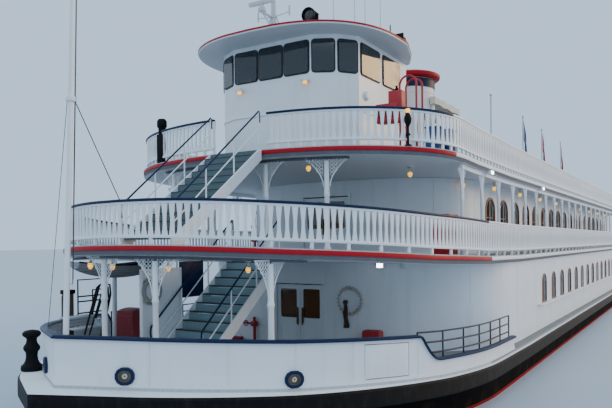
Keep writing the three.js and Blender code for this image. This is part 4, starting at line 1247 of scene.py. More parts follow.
walls = house_wall(HOUSE1_PLAN, MAIN_Z, DECK2_Z - DECK_THICK)
walls = cut(
    walls,
    [copies(board(MAIN_WINDOW, CUT_DEEP), side_places(MAIN_WINDOWS, HOUSE1_PLAN["half"], MAIN_Z))]
)
seam_path = ring(HOUSE1_PLAN, 0.004)
seams = [pipe([(u, y, main_z(u) + z) for z in (0.03, 2.7)], 0.012) for u, y, _ in walk(seam_path, 2.9)]
belts = [
    strip(ring(HOUSE1_PLAN, -0.006), 0.03, level(MAIN_Z + z), level(MAIN_Z + z + 0.045), True)
    for z in (0.02, 2.66)
]
belts[0] = cut(belts[0], [block((9, 10), (-DOOR_HALF - 0.1, DOOR_HALF + 0.1), (2.5, 4), soft=0)])
ledges = [
    block((17.5, 54.4), (side * 6.0, side * 6.2), (MAIN_Z + 0.98, MAIN_Z + 1.04))
    for side in SIDES.values()
]
piece(
    "main_deckhouse_walls", [walls, *seams, *belts, *ledges], white, replaces=["main_house"],
)
frames = copies(surround(MAIN_WINDOW, 0.05, 0.03), side_places(MAIN_WINDOWS, 6.0, MAIN_Z))
bars = copies(
    board([(0.015, 1.08), (0.015, 2.14), (-0.015, 2.14), (-0.015, 1.08)], 0.04),
    side_places(MAIN_WINDOWS, 5.96, MAIN_Z)
)
piece("main_window_frames", [frames, bars], varnish)
piece("main_window_panes", [copies(board(MAIN_WINDOW, 0.02), side_places(MAIN_WINDOWS, 5.93, MAIN_Z))], glass)
print("main deckhouse walls:", len(made), "pieces so far")

# %% [markdown]
# Two glazed leaves swing in a frame. A leaf is a board with its light cut out, a raised panel
# below, a pane, a pull and a hinge pin. All of that rides on the leaf's own body, so that the
# door can open. Both houses have the same doors, so one function makes any leaf.

# %% Double doors
LEAF_MIDDLE, LEAF_HALF = 0.4485, 0.4415
DOOR_LIGHT = (0.95, 1.92)
HINGE_Y = 0.89


def door_frame(plan, deck):
    floor = deck + rise(plan["front"])
    outline = [(DOOR_HALF, 0.01), (DOOR_HALF, DOOR_HEIGHT), (-DOOR_HALF, DOOR_HEIGHT), (-DOOR_HALF, 0.01)]
    frame_ring = moved(surround(outline, 0.09, 0.035), standing(plan["front"] - 0.002, 0, floor, math.pi / 2))
    sill = block((plan["front"] - 0.06, plan["front"] + 0.02), (-1.0, 1.0), (floor + 0.003, floor + 0.03))
    threshold = block(about(plan["front"], 0.3), (-0.9, 0.9), (floor - 0.5, floor + 0.03), soft=0)
    return cut(frame_ring, [threshold]), sill


def door_leaf(name, plan, deck, side):
    """One glazed leaf: frame, panel, glass, pull and hinge pins, all riding on its own body."""
    face = plan["front"] + 0.004 * plan["curve"]
    floor = deck + rise(face - 0.05)
    middle, half = side * LEAF_MIDDLE, LEAF_HALF
    place = standing(face + 0.03, middle, floor, math.pi / 2)
    leaf = board(rounded(half, 0.055, 2.06, 0.01), 0.06)
    leaf = cut(moved(leaf, place), [moved(board(rounded(half - 0.12, *DOOR_LIGHT, 0.05), 0.2), place)])
    panel = moved(surround(rounded(half - 0.14, 0.22, 0.78, 0.03), 0.03, 0.042), place)
    bead = moved(surround(rounded(half - 0.12, *DOOR_LIGHT, 0.05), 0.02, 0.038), place)
    pin = upright(face, side * HINGE_Y, floor + 0.004, floor + 2.06, 0.02)
    node = f"{name}_{'port' if side > 0 else 'starboard'}"
    piece(f"{node}_leaf", [leaf, panel, bead, pin], white, body=node, replaces=[node])
    pane = moved(board(rounded(half - 0.115, 0.945, 1.925, 0.05), 0.015), place)
    piece(f"{node}_pane", [pane], door_glass, body=node)
    pull_y = side * 0.1
    pulls = [upright(face - 0.055, pull_y, floor + 0.75, floor + 1.25, 0.014)]
    pulls += [
        pipe([(face - 0.055, pull_y, floor + z), (face + 0.005, pull_y, floor + z)], 0.01)
        for z in (0.8, 1.2)
    ]
    pulls.append(
        moved(
            board(rounded(0.04, 0.7, 1.3, 0.02), 0.012),
            standing(face - 0.004, pull_y, floor, math.pi / 2)
        )
    )
    piece(f"{node}_pull", pulls, bronze, body=node)


piece("main_door_frame", [*door_frame(HOUSE1_PLAN, MAIN_Z)], white)
for side in (1, -1):
    door_leaf("main_door", HOUSE1_PLAN, MAIN_Z, side)
print("main deckhouse:", len(made), "pieces so far")

# %% [markdown]
# The saloon above has the same rounded front, with taller arched windows one to a bay, and
# its own pair of glazed doors.

# %% Saloon
SALOON_AT = [15.3 + 0.625 + BAY * i for i in range(18)]
SALOON_WINDOW = arched(0.56, 0.72, 1.65, 2.08)
walls = house_wall(HOUSE2_PLAN, DECK2_Z, DECK3_Z - DECK_THICK)
walls = cut(
    walls,
    [copies(board(SALOON_WINDOW, CUT_DEEP), side_places(SALOON_AT, HOUSE2_PLAN["half"], DECK2_Z))]
)
belts = [
    strip(ring(HOUSE2_PLAN, -0.006), 0.03, level(DECK2_Z + z), level(DECK2_Z + z + 0.05), True)
    for z in (0.04, 2.5)
]
belts[0] = cut(belts[0], [block((11, 11.8), (-DOOR_HALF - 0.1, DOOR_HALF + 0.1), (5.5, 7), soft=0)])
battens = [
    pipe([(u, y, boiler_z(u) + z) for z in (0.1, 2.5)], 0.012)
    for u, y, _ in walk(ring(HOUSE2_PLAN, 0.004), 1.95)
]
piece("saloon_walls", [walls, *belts, *battens], white, replaces=["boiler_house"])
frames = copies(surround(SALOON_WINDOW, 0.07, 0.035), side_places(SALOON_AT, 4.6, DECK2_Z))
bar_shape = [(0.018, 0.72), (0.018, 2.07), (-0.018, 2.07), (-0.018, 0.72)]
rail_shape = [(0.55, 1.36), (0.55, 1.4), (-0.55, 1.4), (-0.55, 1.36)]
grid = [
    copies(board(shape, 0.05), side_places(SALOON_AT, 4.55, DECK2_Z))
    for shape in (bar_shape, rail_shape)
]
piece("saloon_window_frames", [frames, *grid], varnish)
piece(
    "saloon_window_panes", [copies(board(SALOON_WINDOW, 0.02), side_places(SALOON_AT, 4.52, DECK2_Z))],
    glass, replaces=["boiler_house_glass"]
)
piece("boiler_door_frame", [*door_frame(HOUSE2_PLAN, DECK2_Z)], white)
for side in (1, -1):
    door_leaf("boiler_door", HOUSE2_PLAN, DECK2_Z, side)
print("saloon:", len(made), "pieces so far")

# %% [markdown]
# Slender posts hold each deck over the one below. At their heads sit lace brackets: an ogee
# edge filled with rows of little rings. One bracket is built, mirrored, and copied to every
# post, turned to follow the edge of the deck.

# %% Posts and lace brackets
BRACKET_DEEP = 0.92
BRACKET_WIDE = 0.46
LACE_PITCH = 0.098
POST_INSET = 0.32
POST_HALF = 0.07


def ogee(depth):
    """How far the lace reaches out from the post at a depth below the deck."""
    return 0.07 + (BRACKET_WIDE - 0.07) * max(1 - depth / BRACKET_DEEP, 0) ** 1.9


def lace(wide, deep):
    """Both halves of a bracket, hanging from the origin in the x-z plane, stretched each way."""
    depths = [BRACKET_DEEP * k / 10 for k in range(11)]
    rows, pitch = round(BRACKET_DEEP * deep / LACE_PITCH), LACE_PITCH / wide
    parts = []
    for side in (1, -1):
        edge = [(0, side * ogee(depth) * wide, -depth * deep) for depth in depths]
        edge += [(0, side * 0.06, -BRACKET_DEEP * deep), (0, side * 0.06, 0)]
        parts.append(moved(pipe(edge, 0.015, closed=True, sides=4), TO_ORIGIN))
        for row in range(rows):
            depth = (row + 0.6) * BRACKET_DEEP / rows
            for column in range(math.ceil((ogee(depth) - 0.11) / pitch)):
                place = Vector((0, side * (0.11 + column * pitch) * wide, -depth * deep)) * SCALE
                small = moved(hoop(0.043, 0.008, 10, 4), LAID_ALONG)
                parts.append(moved(small, Matrix.Translation(place)))
    return moved(joined(parts), Matrix.Rotation(-math.pi / 2, 4, "Z"))


def post(height, half):
    """A post with a square foot, a slim shaft and a cap, standing on the origin."""
    profile = [
        (0, 0.003), (half * 1.35, 0.003), (half * 1.35, 0.16), (half, 0.2), (half, height - 1.0),
        (half * 1.25, height - 0.96), (half * 1.25, height - 0.92), (half, height - 0.88),
        (half, height - 0.02), (0, height - 0.02)
    ]
    return turned(profile, 12)


print("bracket parts ready")

# %% [markdown]
# Three decorated posts stand in a row under the bow of the second deck, with a plain one to
# starboard, four under the third deck, and a long row down each side of it.

# %% Bow posts and side posts
DECK2_UNDER = DECK2_Z - DECK_THICK
DECK3_UNDER = DECK3_Z - DECK_THICK
MAIN_POST_Y = (-0.85, 0.85, 3.3)
BOILER_POST_Y = (-2.8, -0.96, 0.96, 2.8)
SIDE_PROP_AT = (4.47, -3.3)
SIDE_POSTS_AT = [9.5 + BAY * i for i in range(23)]


def bow_row(name, plan, ys, reach, floor, under, wide, deep):
    """The posts of one bow, their lace and the header that joins them."""
    def spot(y):
        return front_at(plan, y) + POST_INSET, y

    def slope(y):
        (u0, _), (u1, _) = spot(y - 0.05), spot(y + 0.05)
        return math.atan2(0.1, -(u1 - u0))

    posts, laces = [], []
    for y in ys:
        u, _ = spot(y)
        foot, head = floor + rise(u - POST_HALF), under + rise(u)
        posts.append(moved(post(head - foot - 0.1, POST_HALF), standing(u, y, foot + 0.002)))
        laces.append(standing(u, y, head - 0.03, slope(y) if abs(y) < 3 else 0.0))
    line = [spot(y) for y in sorted({-reach, 0, reach, *ys, *[y + 0.6 for y in ys]})]
    header = strip(line, 0.12, lambda u: under + rise(u) - 0.07, lambda u: under + rise(u) - 0.012, soft=0.01)
    piece(f"{name}_bow_posts", posts, white_timber, replaces=[f"{name}_bow_posts"])
    # The header is painted dark as shade under the deck.
    piece(f"{name}_bow_header", [header], painted_shade_dark)
    piece(f"{name}_bow_lace", [copies(lace(wide, deep), laces)], white_timber)


bow_row("main", DECK2_PLAN, MAIN_POST_Y, 3.4, MAIN_Z, DECK2_UNDER, 1.3, 0.95)
bow_row("boiler", DECK3_PLAN, BOILER_POST_Y, 3.2, DECK2_Z, DECK3_UNDER, 1.35, 0.85)
u, y = SIDE_PROP_AT
prop_foot, prop_head = main_z(u - POST_HALF), DECK2_UNDER + rise(u + POST_HALF)
prop = moved(cylinder(0.07, 0.002, prop_head - prop_foot, 16),
             standing(u, y, prop_foot))
collar = moved(
    turned([(0.07, 0.01), (0.11, 0.01), (0.11, 0.04), (0.07, 0.06)], 16), standing(u, y, prop_foot)
)
piece("plain_prop", [prop, collar], white, replaces=["side_prop"])

for name, side in SIDES.items():
    def spot(u):
        return u, side * (half_breadth(DECK3_PLAN, u) - 0.16)

    posts, laces = [], []
    for u in SIDE_POSTS_AT:
        foot = boiler_z(u - 0.05)
        head = DECK3_UNDER + rise(u)
        posts.append(moved(post(head - foot - 0.08, 0.05), standing(*spot(u), foot + 0.002)))
        laces.append(standing(*spot(u), head - 0.13))
    ends = [SIDE_POSTS_AT[0] - 0.1, 10.5, 14.3, 53.3]
    header = strip(
        [spot(u) for u in ends], 0.1, lambda u: DECK3_UNDER + rise(u) - 0.14,
        lambda u: DECK3_UNDER + rise(u) - 0.012
    )
    node = f"boiler_side_posts_{name}"
    piece(f"side_posts_{name}", [*posts, header], white_timber, replaces=[node])
    piece(f"side_lace_{name}", [copies(lace(0.72, 0.72), laces)], white_timber)
print("posts and lace:", len(made), "pieces, last with", len(made[-1].data.polygons), "faces")

# %% [markdown]
# Two open flights climb from the bow to the sun deck. Each has grit-coated treads on white
# stringers, dark nosings, a navy handrail on white stanchions, and a lower rail.

# %% Stairs
STEPS = 13
HANDRAIL = 0.92


def stair(name, span, low, high, riser_finish):
    (u0, u1), (y0, y1) = span, STAIR_Y
    sides_y = (y0 + 0.03, y1 - 0.03)
    going, riser = (u1 - u0) / STEPS, (high - low) / STEPS
    treads, nosings, risers = [], [], []
    for i in range(1, STEPS):
        u, z = u0 + i * going - 0.13, low + i * riser
        treads.append(block((u, u + going + 0.03), (y0 + 0.05, y1 - 0.05), (z - 0.045, z)))
        nosings.append(block((u - 0.004, u + 0.035), (y0 + 0.06, y1 - 0.06), (z - 0.022, z + 0.004), soft=0))
        risers.append(
            block(
                (u + going - 0.01, u + going + 0.008), (y0 + 0.06, y1 - 0.06),
                (z - 0.01, z + riser - 0.05), soft=0
            )
        )
    piece(f"{name}_treads", treads, tread_green, replaces=[name])
    piece(f"{name}_nosings", nosings, bare_grit)
    piece(f"{name}_risers", risers, riser_finish)
    slope = (high - low) / (u1 - u0)
    outline = [
        (u0, low + 0.004), (u0 + 0.35, low + 0.004), (u1, high - 0.35 * slope - 0.06),
        (u1, high - 0.02), (u1 - 0.1, high - 0.02), (u0, low + 0.16)
    ]
    sides = []
    for y in sides_y:
        plank = board([(-(u - u0), z - low) for u, z in outline], 0.055)
        sides.append(modify(moved(plank, standing(u0, y, low)), "BEVEL", width=0.006, segments=1))
    stanchions, grips = [], []
    for y in sides_y:
        def on_stair(share, height):
            return u0 + 0.1 + share * (u1 - u0 - 0.2), y, low + 0.1 + share * (high - low) + height

        for share in (0.0, 0.34, 0.67, 1.0):
            stanchions.append(pipe([on_stair(share, -0.02), on_stair(share, HANDRAIL)], 0.021))
        stanchions.append(pipe([on_stair(0, 0.46), on_stair(1, 0.46)], 0.018))
        foot, head = Vector(on_stair(0, HANDRAIL)), Vector(on_stair(1, HANDRAIL))
        loop = [foot + Vector((0, 0, -0.32)), foot + Vector((-0.02, 0, -0.12)), foot, head,
                head + Vector((0.04, 0, -0.02)), head + Vector((0.05, 0, -0.3))]
        grips.append(pipe(loop, 0.026))
    piece(f"{name}_stringers", sides, white)
    piece(f"{name}_stanchions", stanchions, white)
    piece(f"{name}_handrails", grips, navy)


stair("lower_stair", LOWER_STAIR, main_z(LOWER_STAIR[0]), boiler_z(LOWER_STAIR[1]), riser_paint)
stair("upper_stair", UPPER_STAIR, boiler_z(UPPER_STAIR[0]), sun_z(UPPER_STAIR[1]), shaded_riser)
print("stairs:", len(made), "pieces so far")

# %% [markdown]
# The wheelhouse stands on the officers' cabin. Its wall is cut for windows all round, and
# each window has a black rubber seal with rounded corners, which is what draws the eye there.

# %% Wheelhouse
# u, y of the port corners
CABIN_HALF = [(7.93, 1.45), (8.3, 2.15), (8.9, 2.6), (10.5, 2.6), (12.6, 2.6)]
# stretch of wall, share where the window starts, share where it ends
CABIN_WINDOWS = [
    (-1, 0.02, 0.32), (-1, 0.35, 0.65), (-1, 0.68, 0.98), (0, 0.08, 0.92), (1, 0.08, 0.92),
    (2, 0.08, 0.92), (3, 0.06, 0.7)
]
CABIN_AFT = CABIN_HALF[-1][0]
cabin_ring = CABIN_HALF + mirrored(CABIN_HALF)


def inset_ring(points, inset):
    """A closed polygon of (u, y), port side first, moved in by inset."""
    port = offset([(points[0][0], 0.0)] + points[:len(points) // 2], inset)[1:]
    port[-1] = (points[len(points) // 2 - 1][0] - inset, port[-1][1])
    return port + mirrored(port)


def cabin_openings():
    """For every window: the matrix on the wall, its half width, low and high levels."""
    front = (*mirrored(CABIN_HALF[:1]), CABIN_HALF[0])
    spots = []
    for stretch, share0, share1 in CABIN_WINDOWS:
        a, b = front if stretch < 0 else CABIN_HALF[stretch:stretch + 2]
        half = math.dist(a, b) * (share1 - share0) / 2
        middle = (share0 + share1) / 2
        spots.append((along(a, b, middle), half))
        if stretch >= 0:
            spots.append((along((b[0], -b[1]), (a[0], -a[1]), 1 - middle), half))
    return spots


base_ring = inset_ring(cabin_ring, 0.05)
base = strip(base_ring, 0.1, level(DECK3_Z + 0.002), CABIN_FLOOR, True)
base_floor = strip(inset_ring(cabin_ring, 0.11), 0.02, CABIN_FLOOR - 0.05, CABIN_FLOOR, True)
walls = strip(base_ring, 0.1, CABIN_FLOOR + 0.001, CABIN_TOP, True)
openings = cabin_openings()
cutters = [moved(board(rounded(half, SILL, LINTEL), CUT_DEEP), place) for place, half in openings]
cutters.append(moved(board(rounded(1.9, SILL, LINTEL), CUT_DEEP), standing(CABIN_AFT, 0, 0, -math.pi / 2)))
walls = cut(walls, cutters)
belt = strip(inset_ring(cabin_ring, -0.012), 0.03, CABIN_FLOOR - 0.03, CABIN_FLOOR + 0.03, True, soft=0.008)
door_lines = surround([(0.36, 0), (0.36, 1.95), (-0.36, 1.95), (-0.36, 0)], 0.05, 0.02)
door_lines = moved(door_lines, standing(CABIN_AFT, 0.0, DECK3_Z + 0.01, -math.pi / 2))
piece(
    "wheelhouse_lower_walls", [base, base_floor, door_lines], white, replaces=["wheelhouse_base"],
)
piece("wheelhouse_upper_walls", [walls, belt], white, replaces=["wheelhouse_walls"])
print("wheelhouse walls:", len(made), "pieces so far")

# %% [markdown]
# The panes sit in black seals, and the three front windows have wipers. A wooden wheel and a
# console can just be made out behind the glass, so both are kept simple.

# %% Wheelhouse windows and helm
seals = [moved(surround(rounded(half, SILL, LINTEL), 0.035, 0.018), place) for place, half in openings]
lines = [
    moved(
        board(
            [
                (0.012, SILL + 0.02), (0.012, LINTEL - 0.02), (-0.012, LINTEL - 0.02),
                (-0.012, SILL + 0.02)
            ],
            0.03
        ),
        place
    )
    for place, _ in openings[-4:]
]
piece("wheelhouse_window_seals", seals + lines, rubber)
panes = [
    moved(
        board(rounded(half - 0.005, SILL + 0.005, LINTEL - 0.005), 0.014),
        place @ Matrix.Translation((0, -0.02, 0))
    )
    for place, half in openings
]
panes.append(moved(board(rounded(1.89, SILL, LINTEL), 0.014), standing(12.57, 0, 0, -math.pi / 2)))
piece("wheelhouse_panes", panes, glass, replaces=["wheelhouse_glass"])
wipers = []
pivot = LINTEL - 0.03
for place, _ in openings[:3]:
    arm = board([(0.02, pivot), (0.30, pivot - 0.5), (0.27, pivot - 0.51), (-0.01, pivot - 0.01)], 0.012)
    blade = board(
        [(0.22, pivot - 0.72), (0.36, pivot - 0.28), (0.345, pivot - 0.275), (0.205, pivot - 0.715)],
        0.014
    )
    wipers += [moved(shape, place @ Matrix.Translation((0, 0.028, 0))) for shape in (arm, blade)]
piece("window_wipers", wipers, black)
dash = block((8.35, 8.75), (-1.5, 1.5), (CABIN_FLOOR + 0.01, SILL - 0.12))
helm_u, helm_z = 8.98, SILL - 0.3
helm_rim = moved(hoop(0.42, 0.02, 32, 6), standing(helm_u, 0, helm_z) @ LAID_ALONG)
spokes = [
    pipe([(helm_u, s * 0.5 * math.cos(a), helm_z + s * 0.5 * math.sin(a)) for s in (1, -1)], 0.014)
    for a in [k * math.pi / 4 for k in range(4)]
]
stand = block((8.75, 8.92), (-0.12, 0.12), (CABIN_FLOOR + 0.01, SILL - 0.22))
piece("helm_and_console", [dash, helm_rim, *spokes, stand], varnish)
print("wheelhouse:", len(made), "pieces so far")

# %% [markdown]
# The wheelhouse roof reaches out over the windows as a broad visor. Its upper face is gently
# crowned and its edge is crimson above white; the white that looks out or down is painted grey
# as shade. Both are skins over one outline, moved in or out a little and laid at rising heights.

# %% Wheelhouse roof
roof_edge = port_side(ROOF_PLAN) + ROOF_TAIL


def roof_layer(inset, z):
    """The roof outline moved in, as places at height z."""
    port = offset(roof_edge, inset)
    port[-1] = (roof_edge[-1][0] - inset, port[-1][1])
    return [at(u, y, z) for u, y in port] + [at(u, -y, z) for u, y in reversed(port[1:])]


layers = [
    roof_layer(0.06, CABIN_TOP + 0.003), roof_layer(0.01, CABIN_TOP + 0.004),
    roof_layer(0.0, CABIN_TOP + 0.03), roof_layer(0.0, CABIN_TOP + 0.055),
    roof_layer(0.25, CABIN_TOP + 0.13), roof_layer(0.9, ROOF_Z - 0.002)
]
piece("wheelhouse_roof_shell", [skin(layers)], roof_paint_with_shade, replaces=["wheelhouse_roof"])
rim_layers = [
    roof_layer(0.02, CABIN_TOP + 0.045), roof_layer(-0.014, CABIN_TOP + 0.05),
    roof_layer(-0.014, CABIN_TOP + 0.10), roof_layer(0.03, CABIN_TOP + 0.105),
    roof_layer(0.06, CABIN_TOP + 0.06)
]
rim_rows = [list(row) for row in zip(*rim_layers)]
piece("wheelhouse_roof_rim", [skin(rim_rows, looped=True)], crimson)
print("wheelhouse roof:", len(made), "pieces so far")

# %% [markdown]
# A short mast carries two radar scanners, and a satellite dome stands abaft it. The scanners
# turn on the real boat, so each bar rides on a body of its own. Mast and dome are turned
# shapes, with blocks and bars for the brackets.

# %% Radar mast and dome
MAST_AT = (8.7, -0.4)
MAST_TOP = 14.75
LOW_SCANNER_Z = 14.1
LOW_SCANNER_REACH = 0.66
mast_u, mast_y = MAST_AT
mast = [moved(solid([(0.16, 0), (0.16, 0.03), (0.1, 0.06), (0.08, MAST_TOP - ROOF_Z - 0.01)], 20),
              standing(mast_u, mast_y, ROOF_Z + 0.002))]
low_u = mast_u - LOW_SCANNER_REACH
mast.append(
    block(
        (low_u - 0.07, mast_u + 0.1), about(mast_y, 0.06), (LOW_SCANNER_Z - 0.2, LOW_SCANNER_Z - 0.15)
    )
)
mast.append(
    moved(
        solid([(0.13, 0), (0.13, 0.1), (0.1, 0.14)], 20), standing(low_u, mast_y, LOW_SCANNER_Z - 0.16)
    )
)
for side in (1, -1):
    mast.append(
        pipe(
            [
                (mast_u + 0.05, mast_y + side * 0.42, ROOF_Z + 0.01),
                (mast_u, mast_y + side * 0.07, ROOF_Z + 1.0)
            ],
            0.02
        )
    )
    mast.append(pipe([(mast_u, mast_y, 13.95), (mast_u, mast_y + side * 0.62, 14.02)], 0.018))
    mast.append(upright(mast_u, mast_y + side * 0.62, 13.9, 14.22, 0.03))
mast.append(
    pipe([(low_u + 0.05, mast_y, LOW_SCANNER_Z - 0.2), (mast_u, mast_y, LOW_SCANNER_Z - 0.62)], 0.022)
)
mast += [block((mast_u - 0.16, mast_u - 0.06), about(mast_y, 0.07), (z, z + 0.16)) for z in (13.35, 13.7)]
piece("radar_mast_rig", mast, shaded_mast_white, replaces=["radar_mast"])

for node, u, z, half in [
    ("radar_scanner_lower", low_u, LOW_SCANNER_Z, 0.5),
    ("radar_scanner_upper", mast_u, MAST_TOP + 0.02, 0.85)
]:
    drive = moved(solid([(0.06, 0), (0.06, 0.07), (0.05, 0.09)], 20), standing(u, mast_y, z - 0.018))
    bar = modify(
        block(about(u, 0.06), about(mast_y, half), (z + 0.06, z + 0.2), soft=0), "BEVEL", width=0.016,
        segments=3
    )
    piece(f"{node}_bar", [drive, bar], shaded_mast_white, body=node, replaces=[node])

dome_profile = [(0, 0), (0.05, 0), (0.05, 0.3), (0.16, 0.36)] + [
    (0.22 * math.cos(a), 0.5 + 0.154 * math.sin(a))
    for a in [math.radians(-50 + 20 * k) for k in range(7)]
] + [(0, 0.655)]
piece("satellite_dome", [moved(turned(dome_profile, 28), standing(9.3, -0.1, ROOF_Z + 0.002))], shaded_mast_white,
      replaces=["antenna_dome"])
print("radar mast and dome:", len(made), "pieces so far")

# %% [markdown]
# The searchlight is a short barrel in a yoke on a post of its own. All that swings with it is
# on its own body. The barrel, its cooling fins and its lens share one axis, so they are turned
# shapes and rings laid along it.

# %% Searchlight
LIGHT_AT = (9.4, 0.6)
LIGHT_Z = 14.0
light_u, light_y = LIGHT_AT
stand = solid([(0.16, 0), (0.16, 0.03), (0.09, 0.06), (0.07, LIGHT_Z - 0.425 - ROOF_Z)], 20)
piece(
    "searchlight_post", [moved(stand, standing(light_u, light_y, ROOF_Z + 0.002))], black,
    replaces=["searchlight_stand"]
)
barrel_profile = [
    (0, -0.2), (0.12, -0.2), (0.2, -0.12), (0.205, 0.08), (0.24, 0.11), (0.24, 0.2), (0.215, 0.2),
    (0.2, 0.12), (0, 0.1)
]
barrel = moved(turned(barrel_profile, 28), standing(light_u, light_y, LIGHT_Z) @ LAID_ALONG)
fins = [moved(hoop(0.207, 0.008, 28, 4), standing(light_u, light_y, LIGHT_Z) @ LAID_ALONG @ shift(0, 0, x))
        for x in (-0.09, -0.05, -0.01, 0.03)]
yoke = [moved(cylinder(0.06, 0.0, 0.12, 16), standing(light_u, light_y, LIGHT_Z - 0.418)),
        block(about(light_u, 0.04), about(light_y, 0.29), (LIGHT_Z - 0.33, LIGHT_Z - 0.29))]
for side in (1, -1):
    yoke.append(
        block(
            about(light_u, 0.035), (light_y + side * 0.255, light_y + side * 0.29),
            (LIGHT_Z - 0.33, LIGHT_Z + 0.05)
        )
    )
    yoke.append(
        pipe(
            [(light_u, light_y + side * 0.2, LIGHT_Z), (light_u, light_y + side * 0.297, LIGHT_Z)], 0.03
        )
    )
piece(
    "searchlight_barrel", [barrel, *fins, *yoke], black, body="searchlight", replaces=["searchlight"],
)
lens = moved(
    turned([(0, 0.125), (0.2, 0.125), (0.12, 0.16), (0, 0.17)], 28),
    standing(light_u, light_y, LIGHT_Z) @ LAID_ALONG
)
piece("searchlight_lens", [lens], glass, body="searchlight")
print("searchlight:", len(made), "pieces so far")

# %% [markdown]
# Four whip aerials stand on a bar at the after end of the roof. Each is one turned shape: a
# thick foot, a spring and a thin rod that tapers up to its own height.

# %% Whip aerials
# u, y, top
AERIALS = [(10.4, 0.9, 16.2), (10.8, 1.5, 15.6), (11.1, 1.75, 15.1), (11.9, 1.95, 15.6)]
whips = []
for u, y, top in AERIALS:
    profile = [
        (0, 0), (0.05, 0), (0.05, 0.16), (0.033, 0.2), (0.03, 0.5), (0.018, 0.55),
        (0.012, top - ROOF_Z - 0.01), (0, top - ROOF_Z - 0.004)
    ]
    whips.append(moved(turned(profile, 10), standing(u, y, ROOF_Z + 0.004)))
base_bar = strip([(u, y) for u, y, _ in AERIALS], 0.08, ROOF_Z + 0.002, ROOF_Z + 0.05)
piece("whip_aerials", [*whips, base_bar], shaded_mast_white, replaces=["aerials"])
print("whip aerials:", len(made), "pieces so far")

# %% [markdown]
# Canvas hangs, sags and folds. One function makes any such sheet: an open grid is shaped
# through rows of places and then given its thickness. The area of a sheet is measured too,
# because it has to agree with the flat cloth that the sheet was cut from.

# %% Cloth helper
def cloth(rows, thick=0.006, relax=0):
    """A sheet through rows of real places (u, y, z), open at its edges."""
    across, along_it = len(rows[0]), len(rows)
    clear()
    bpy.ops.mesh.primitive_grid_add(x_subdivisions=across - 1, y_subdivisions=along_it - 1, size=2)
    sheet = bpy.context.object
    for vertex in sheet.data.vertices:
        column = round((vertex.co.x + 1) / 2 * (across - 1))
        row = round((vertex.co.y + 1) / 2 * (along_it - 1))
        vertex.co = at(*rows[row][column])
    bpy.ops.object.mode_set(mode="EDIT")
    bpy.ops.mesh.select_all(action="SELECT")
    bpy.ops.mesh.remove_doubles(threshold=1e-5)
    bpy.ops.mesh.normals_make_consistent(inside=False)
    bpy.ops.object.mode_set(mode="OBJECT")
    if relax:
        modify(sheet, "SMOOTH", factor=0.5, iterations=relax)
    return modify(sheet, "SOLIDIFY", thickness=thick * SCALE, offset=0.0)


def sheet_area(item):
    """The area of one face of a thin sheet."""
    return sum(polygon.area for polygon in item.data.polygons) / 2


print("cloth helper ready")

# %% [markdown]
# A round stair tower with a shallow dome stands abaft the wheelhouse. Its wall, its navy band,
# its crimson rim and its dome are all turned, and three brass portholes are set into it.

# %% Stair tower
TOWER_AT = (14.6, 1.9)
TOWER_RADIUS = 0.95
TOWER_TOP = 12.7
tower_foot = standing(*TOWER_AT, DECK3_Z + 0.002)
tall = TOWER_TOP - DECK3_Z - 0.004
wall = cylinder(TOWER_RADIUS, 0, tall, 40)
ribs = [moved(hoop(TOWER_RADIUS, 0.012, 40, 5), shift(0, 0, z)) for z in (0.06, 1.6, 3.2)]
piece(
    "stair_tower_wall", [moved(part, tower_foot) for part in (wall, *ribs)], cream,
    replaces=["stair_tower"]
)
band = turned(
    [
        (TOWER_RADIUS, tall - 0.34), (TOWER_RADIUS + 0.02, tall - 0.34),
        (TOWER_RADIUS + 0.02, tall - 0.02), (TOWER_RADIUS, tall - 0.02)
    ],
    40
)
piece("stair_tower_navy_band", [moved(band, tower_foot)], navy)
tower_head = standing(*TOWER_AT, TOWER_TOP + 0.001)
rim = solid([(1.06, 0), (1.15, 0.06), (1.17, 0.12), (1.165, 0.18), (1.12, 0.21)], 40)
piece(
    "stair_tower_rim", [moved(rim, tower_head)], crimson, replaces=["stair_tower_roof"],
)
dome = turned([(0, 0.2), (1.09, 0.2), (1.0, 0.27), (0.8, 0.34), (0.5, 0.395), (0.2, 0.415), (0, 0.418)], 40)
piece("stair_tower_dome", [moved(dome, tower_head)], cream)
ports = [
    along(
        (TOWER_AT[0] + math.cos(a) * TOWER_RADIUS, TOWER_AT[1] + math.sin(a) * TOWER_RADIUS),
        (
            TOWER_AT[0] + math.cos(a - 0.01) * TOWER_RADIUS,
            TOWER_AT[1] + math.sin(a - 0.01) * TOWER_RADIUS
        ),
        0.5
    )
    for a in (math.radians(60), math.radians(120), math.radians(-60))
]
PORTHOLE = [
    (0.17 * math.cos(a), 11.3 + 0.17 * math.sin(a))
    for a in [math.radians(15 + 30 * k) for k in range(12)]
]
piece("tower_porthole_rims", [moved(surround(PORTHOLE, 0.04, 0.05), place) for place in ports], brass)
piece("tower_porthole_panes", [moved(board(PORTHOLE, 0.02), place) for place in ports], glass)
print("stair tower:", len(made), "pieces so far")

# %% [markdown]
# A canvas canopy reaches aft from the tower over four posts. It is highest along its middle
# and sags a little between its hoops, and its hem hangs in shallow scallops. Sums give the
# height of every point, and the outline of the tower is cut out of the sheet.

# %% Canopy
CANOPY_FROM, CANOPY_TO, CANOPY_HALF = 14.3, 17.15, 3.05
CANOPY_HEM, CANOPY_EDGE, CANOPY_CROWN = 11.69, 11.97, 12.09
HOOP_PITCH = 0.95
CANOPY_BAR = 2.95
CANOPY_POSTS = (14.45, 17.0)
# u and how far to port: the first hoop stops short of the tower
CANOPY_HOOPS = [(15.4, 0.9), (16.3, 3.0), (17.0, 3.0)]


def canopy_height(u, y):
    crown = (CANOPY_CROWN - CANOPY_EDGE) * (1 - abs(y / CANOPY_HALF) ** 2.4)
    sag = 0.035 * math.sin(math.pi * (u - CANOPY_FROM) / HOOP_PITCH) ** 2
    return CANOPY_EDGE + crown - sag


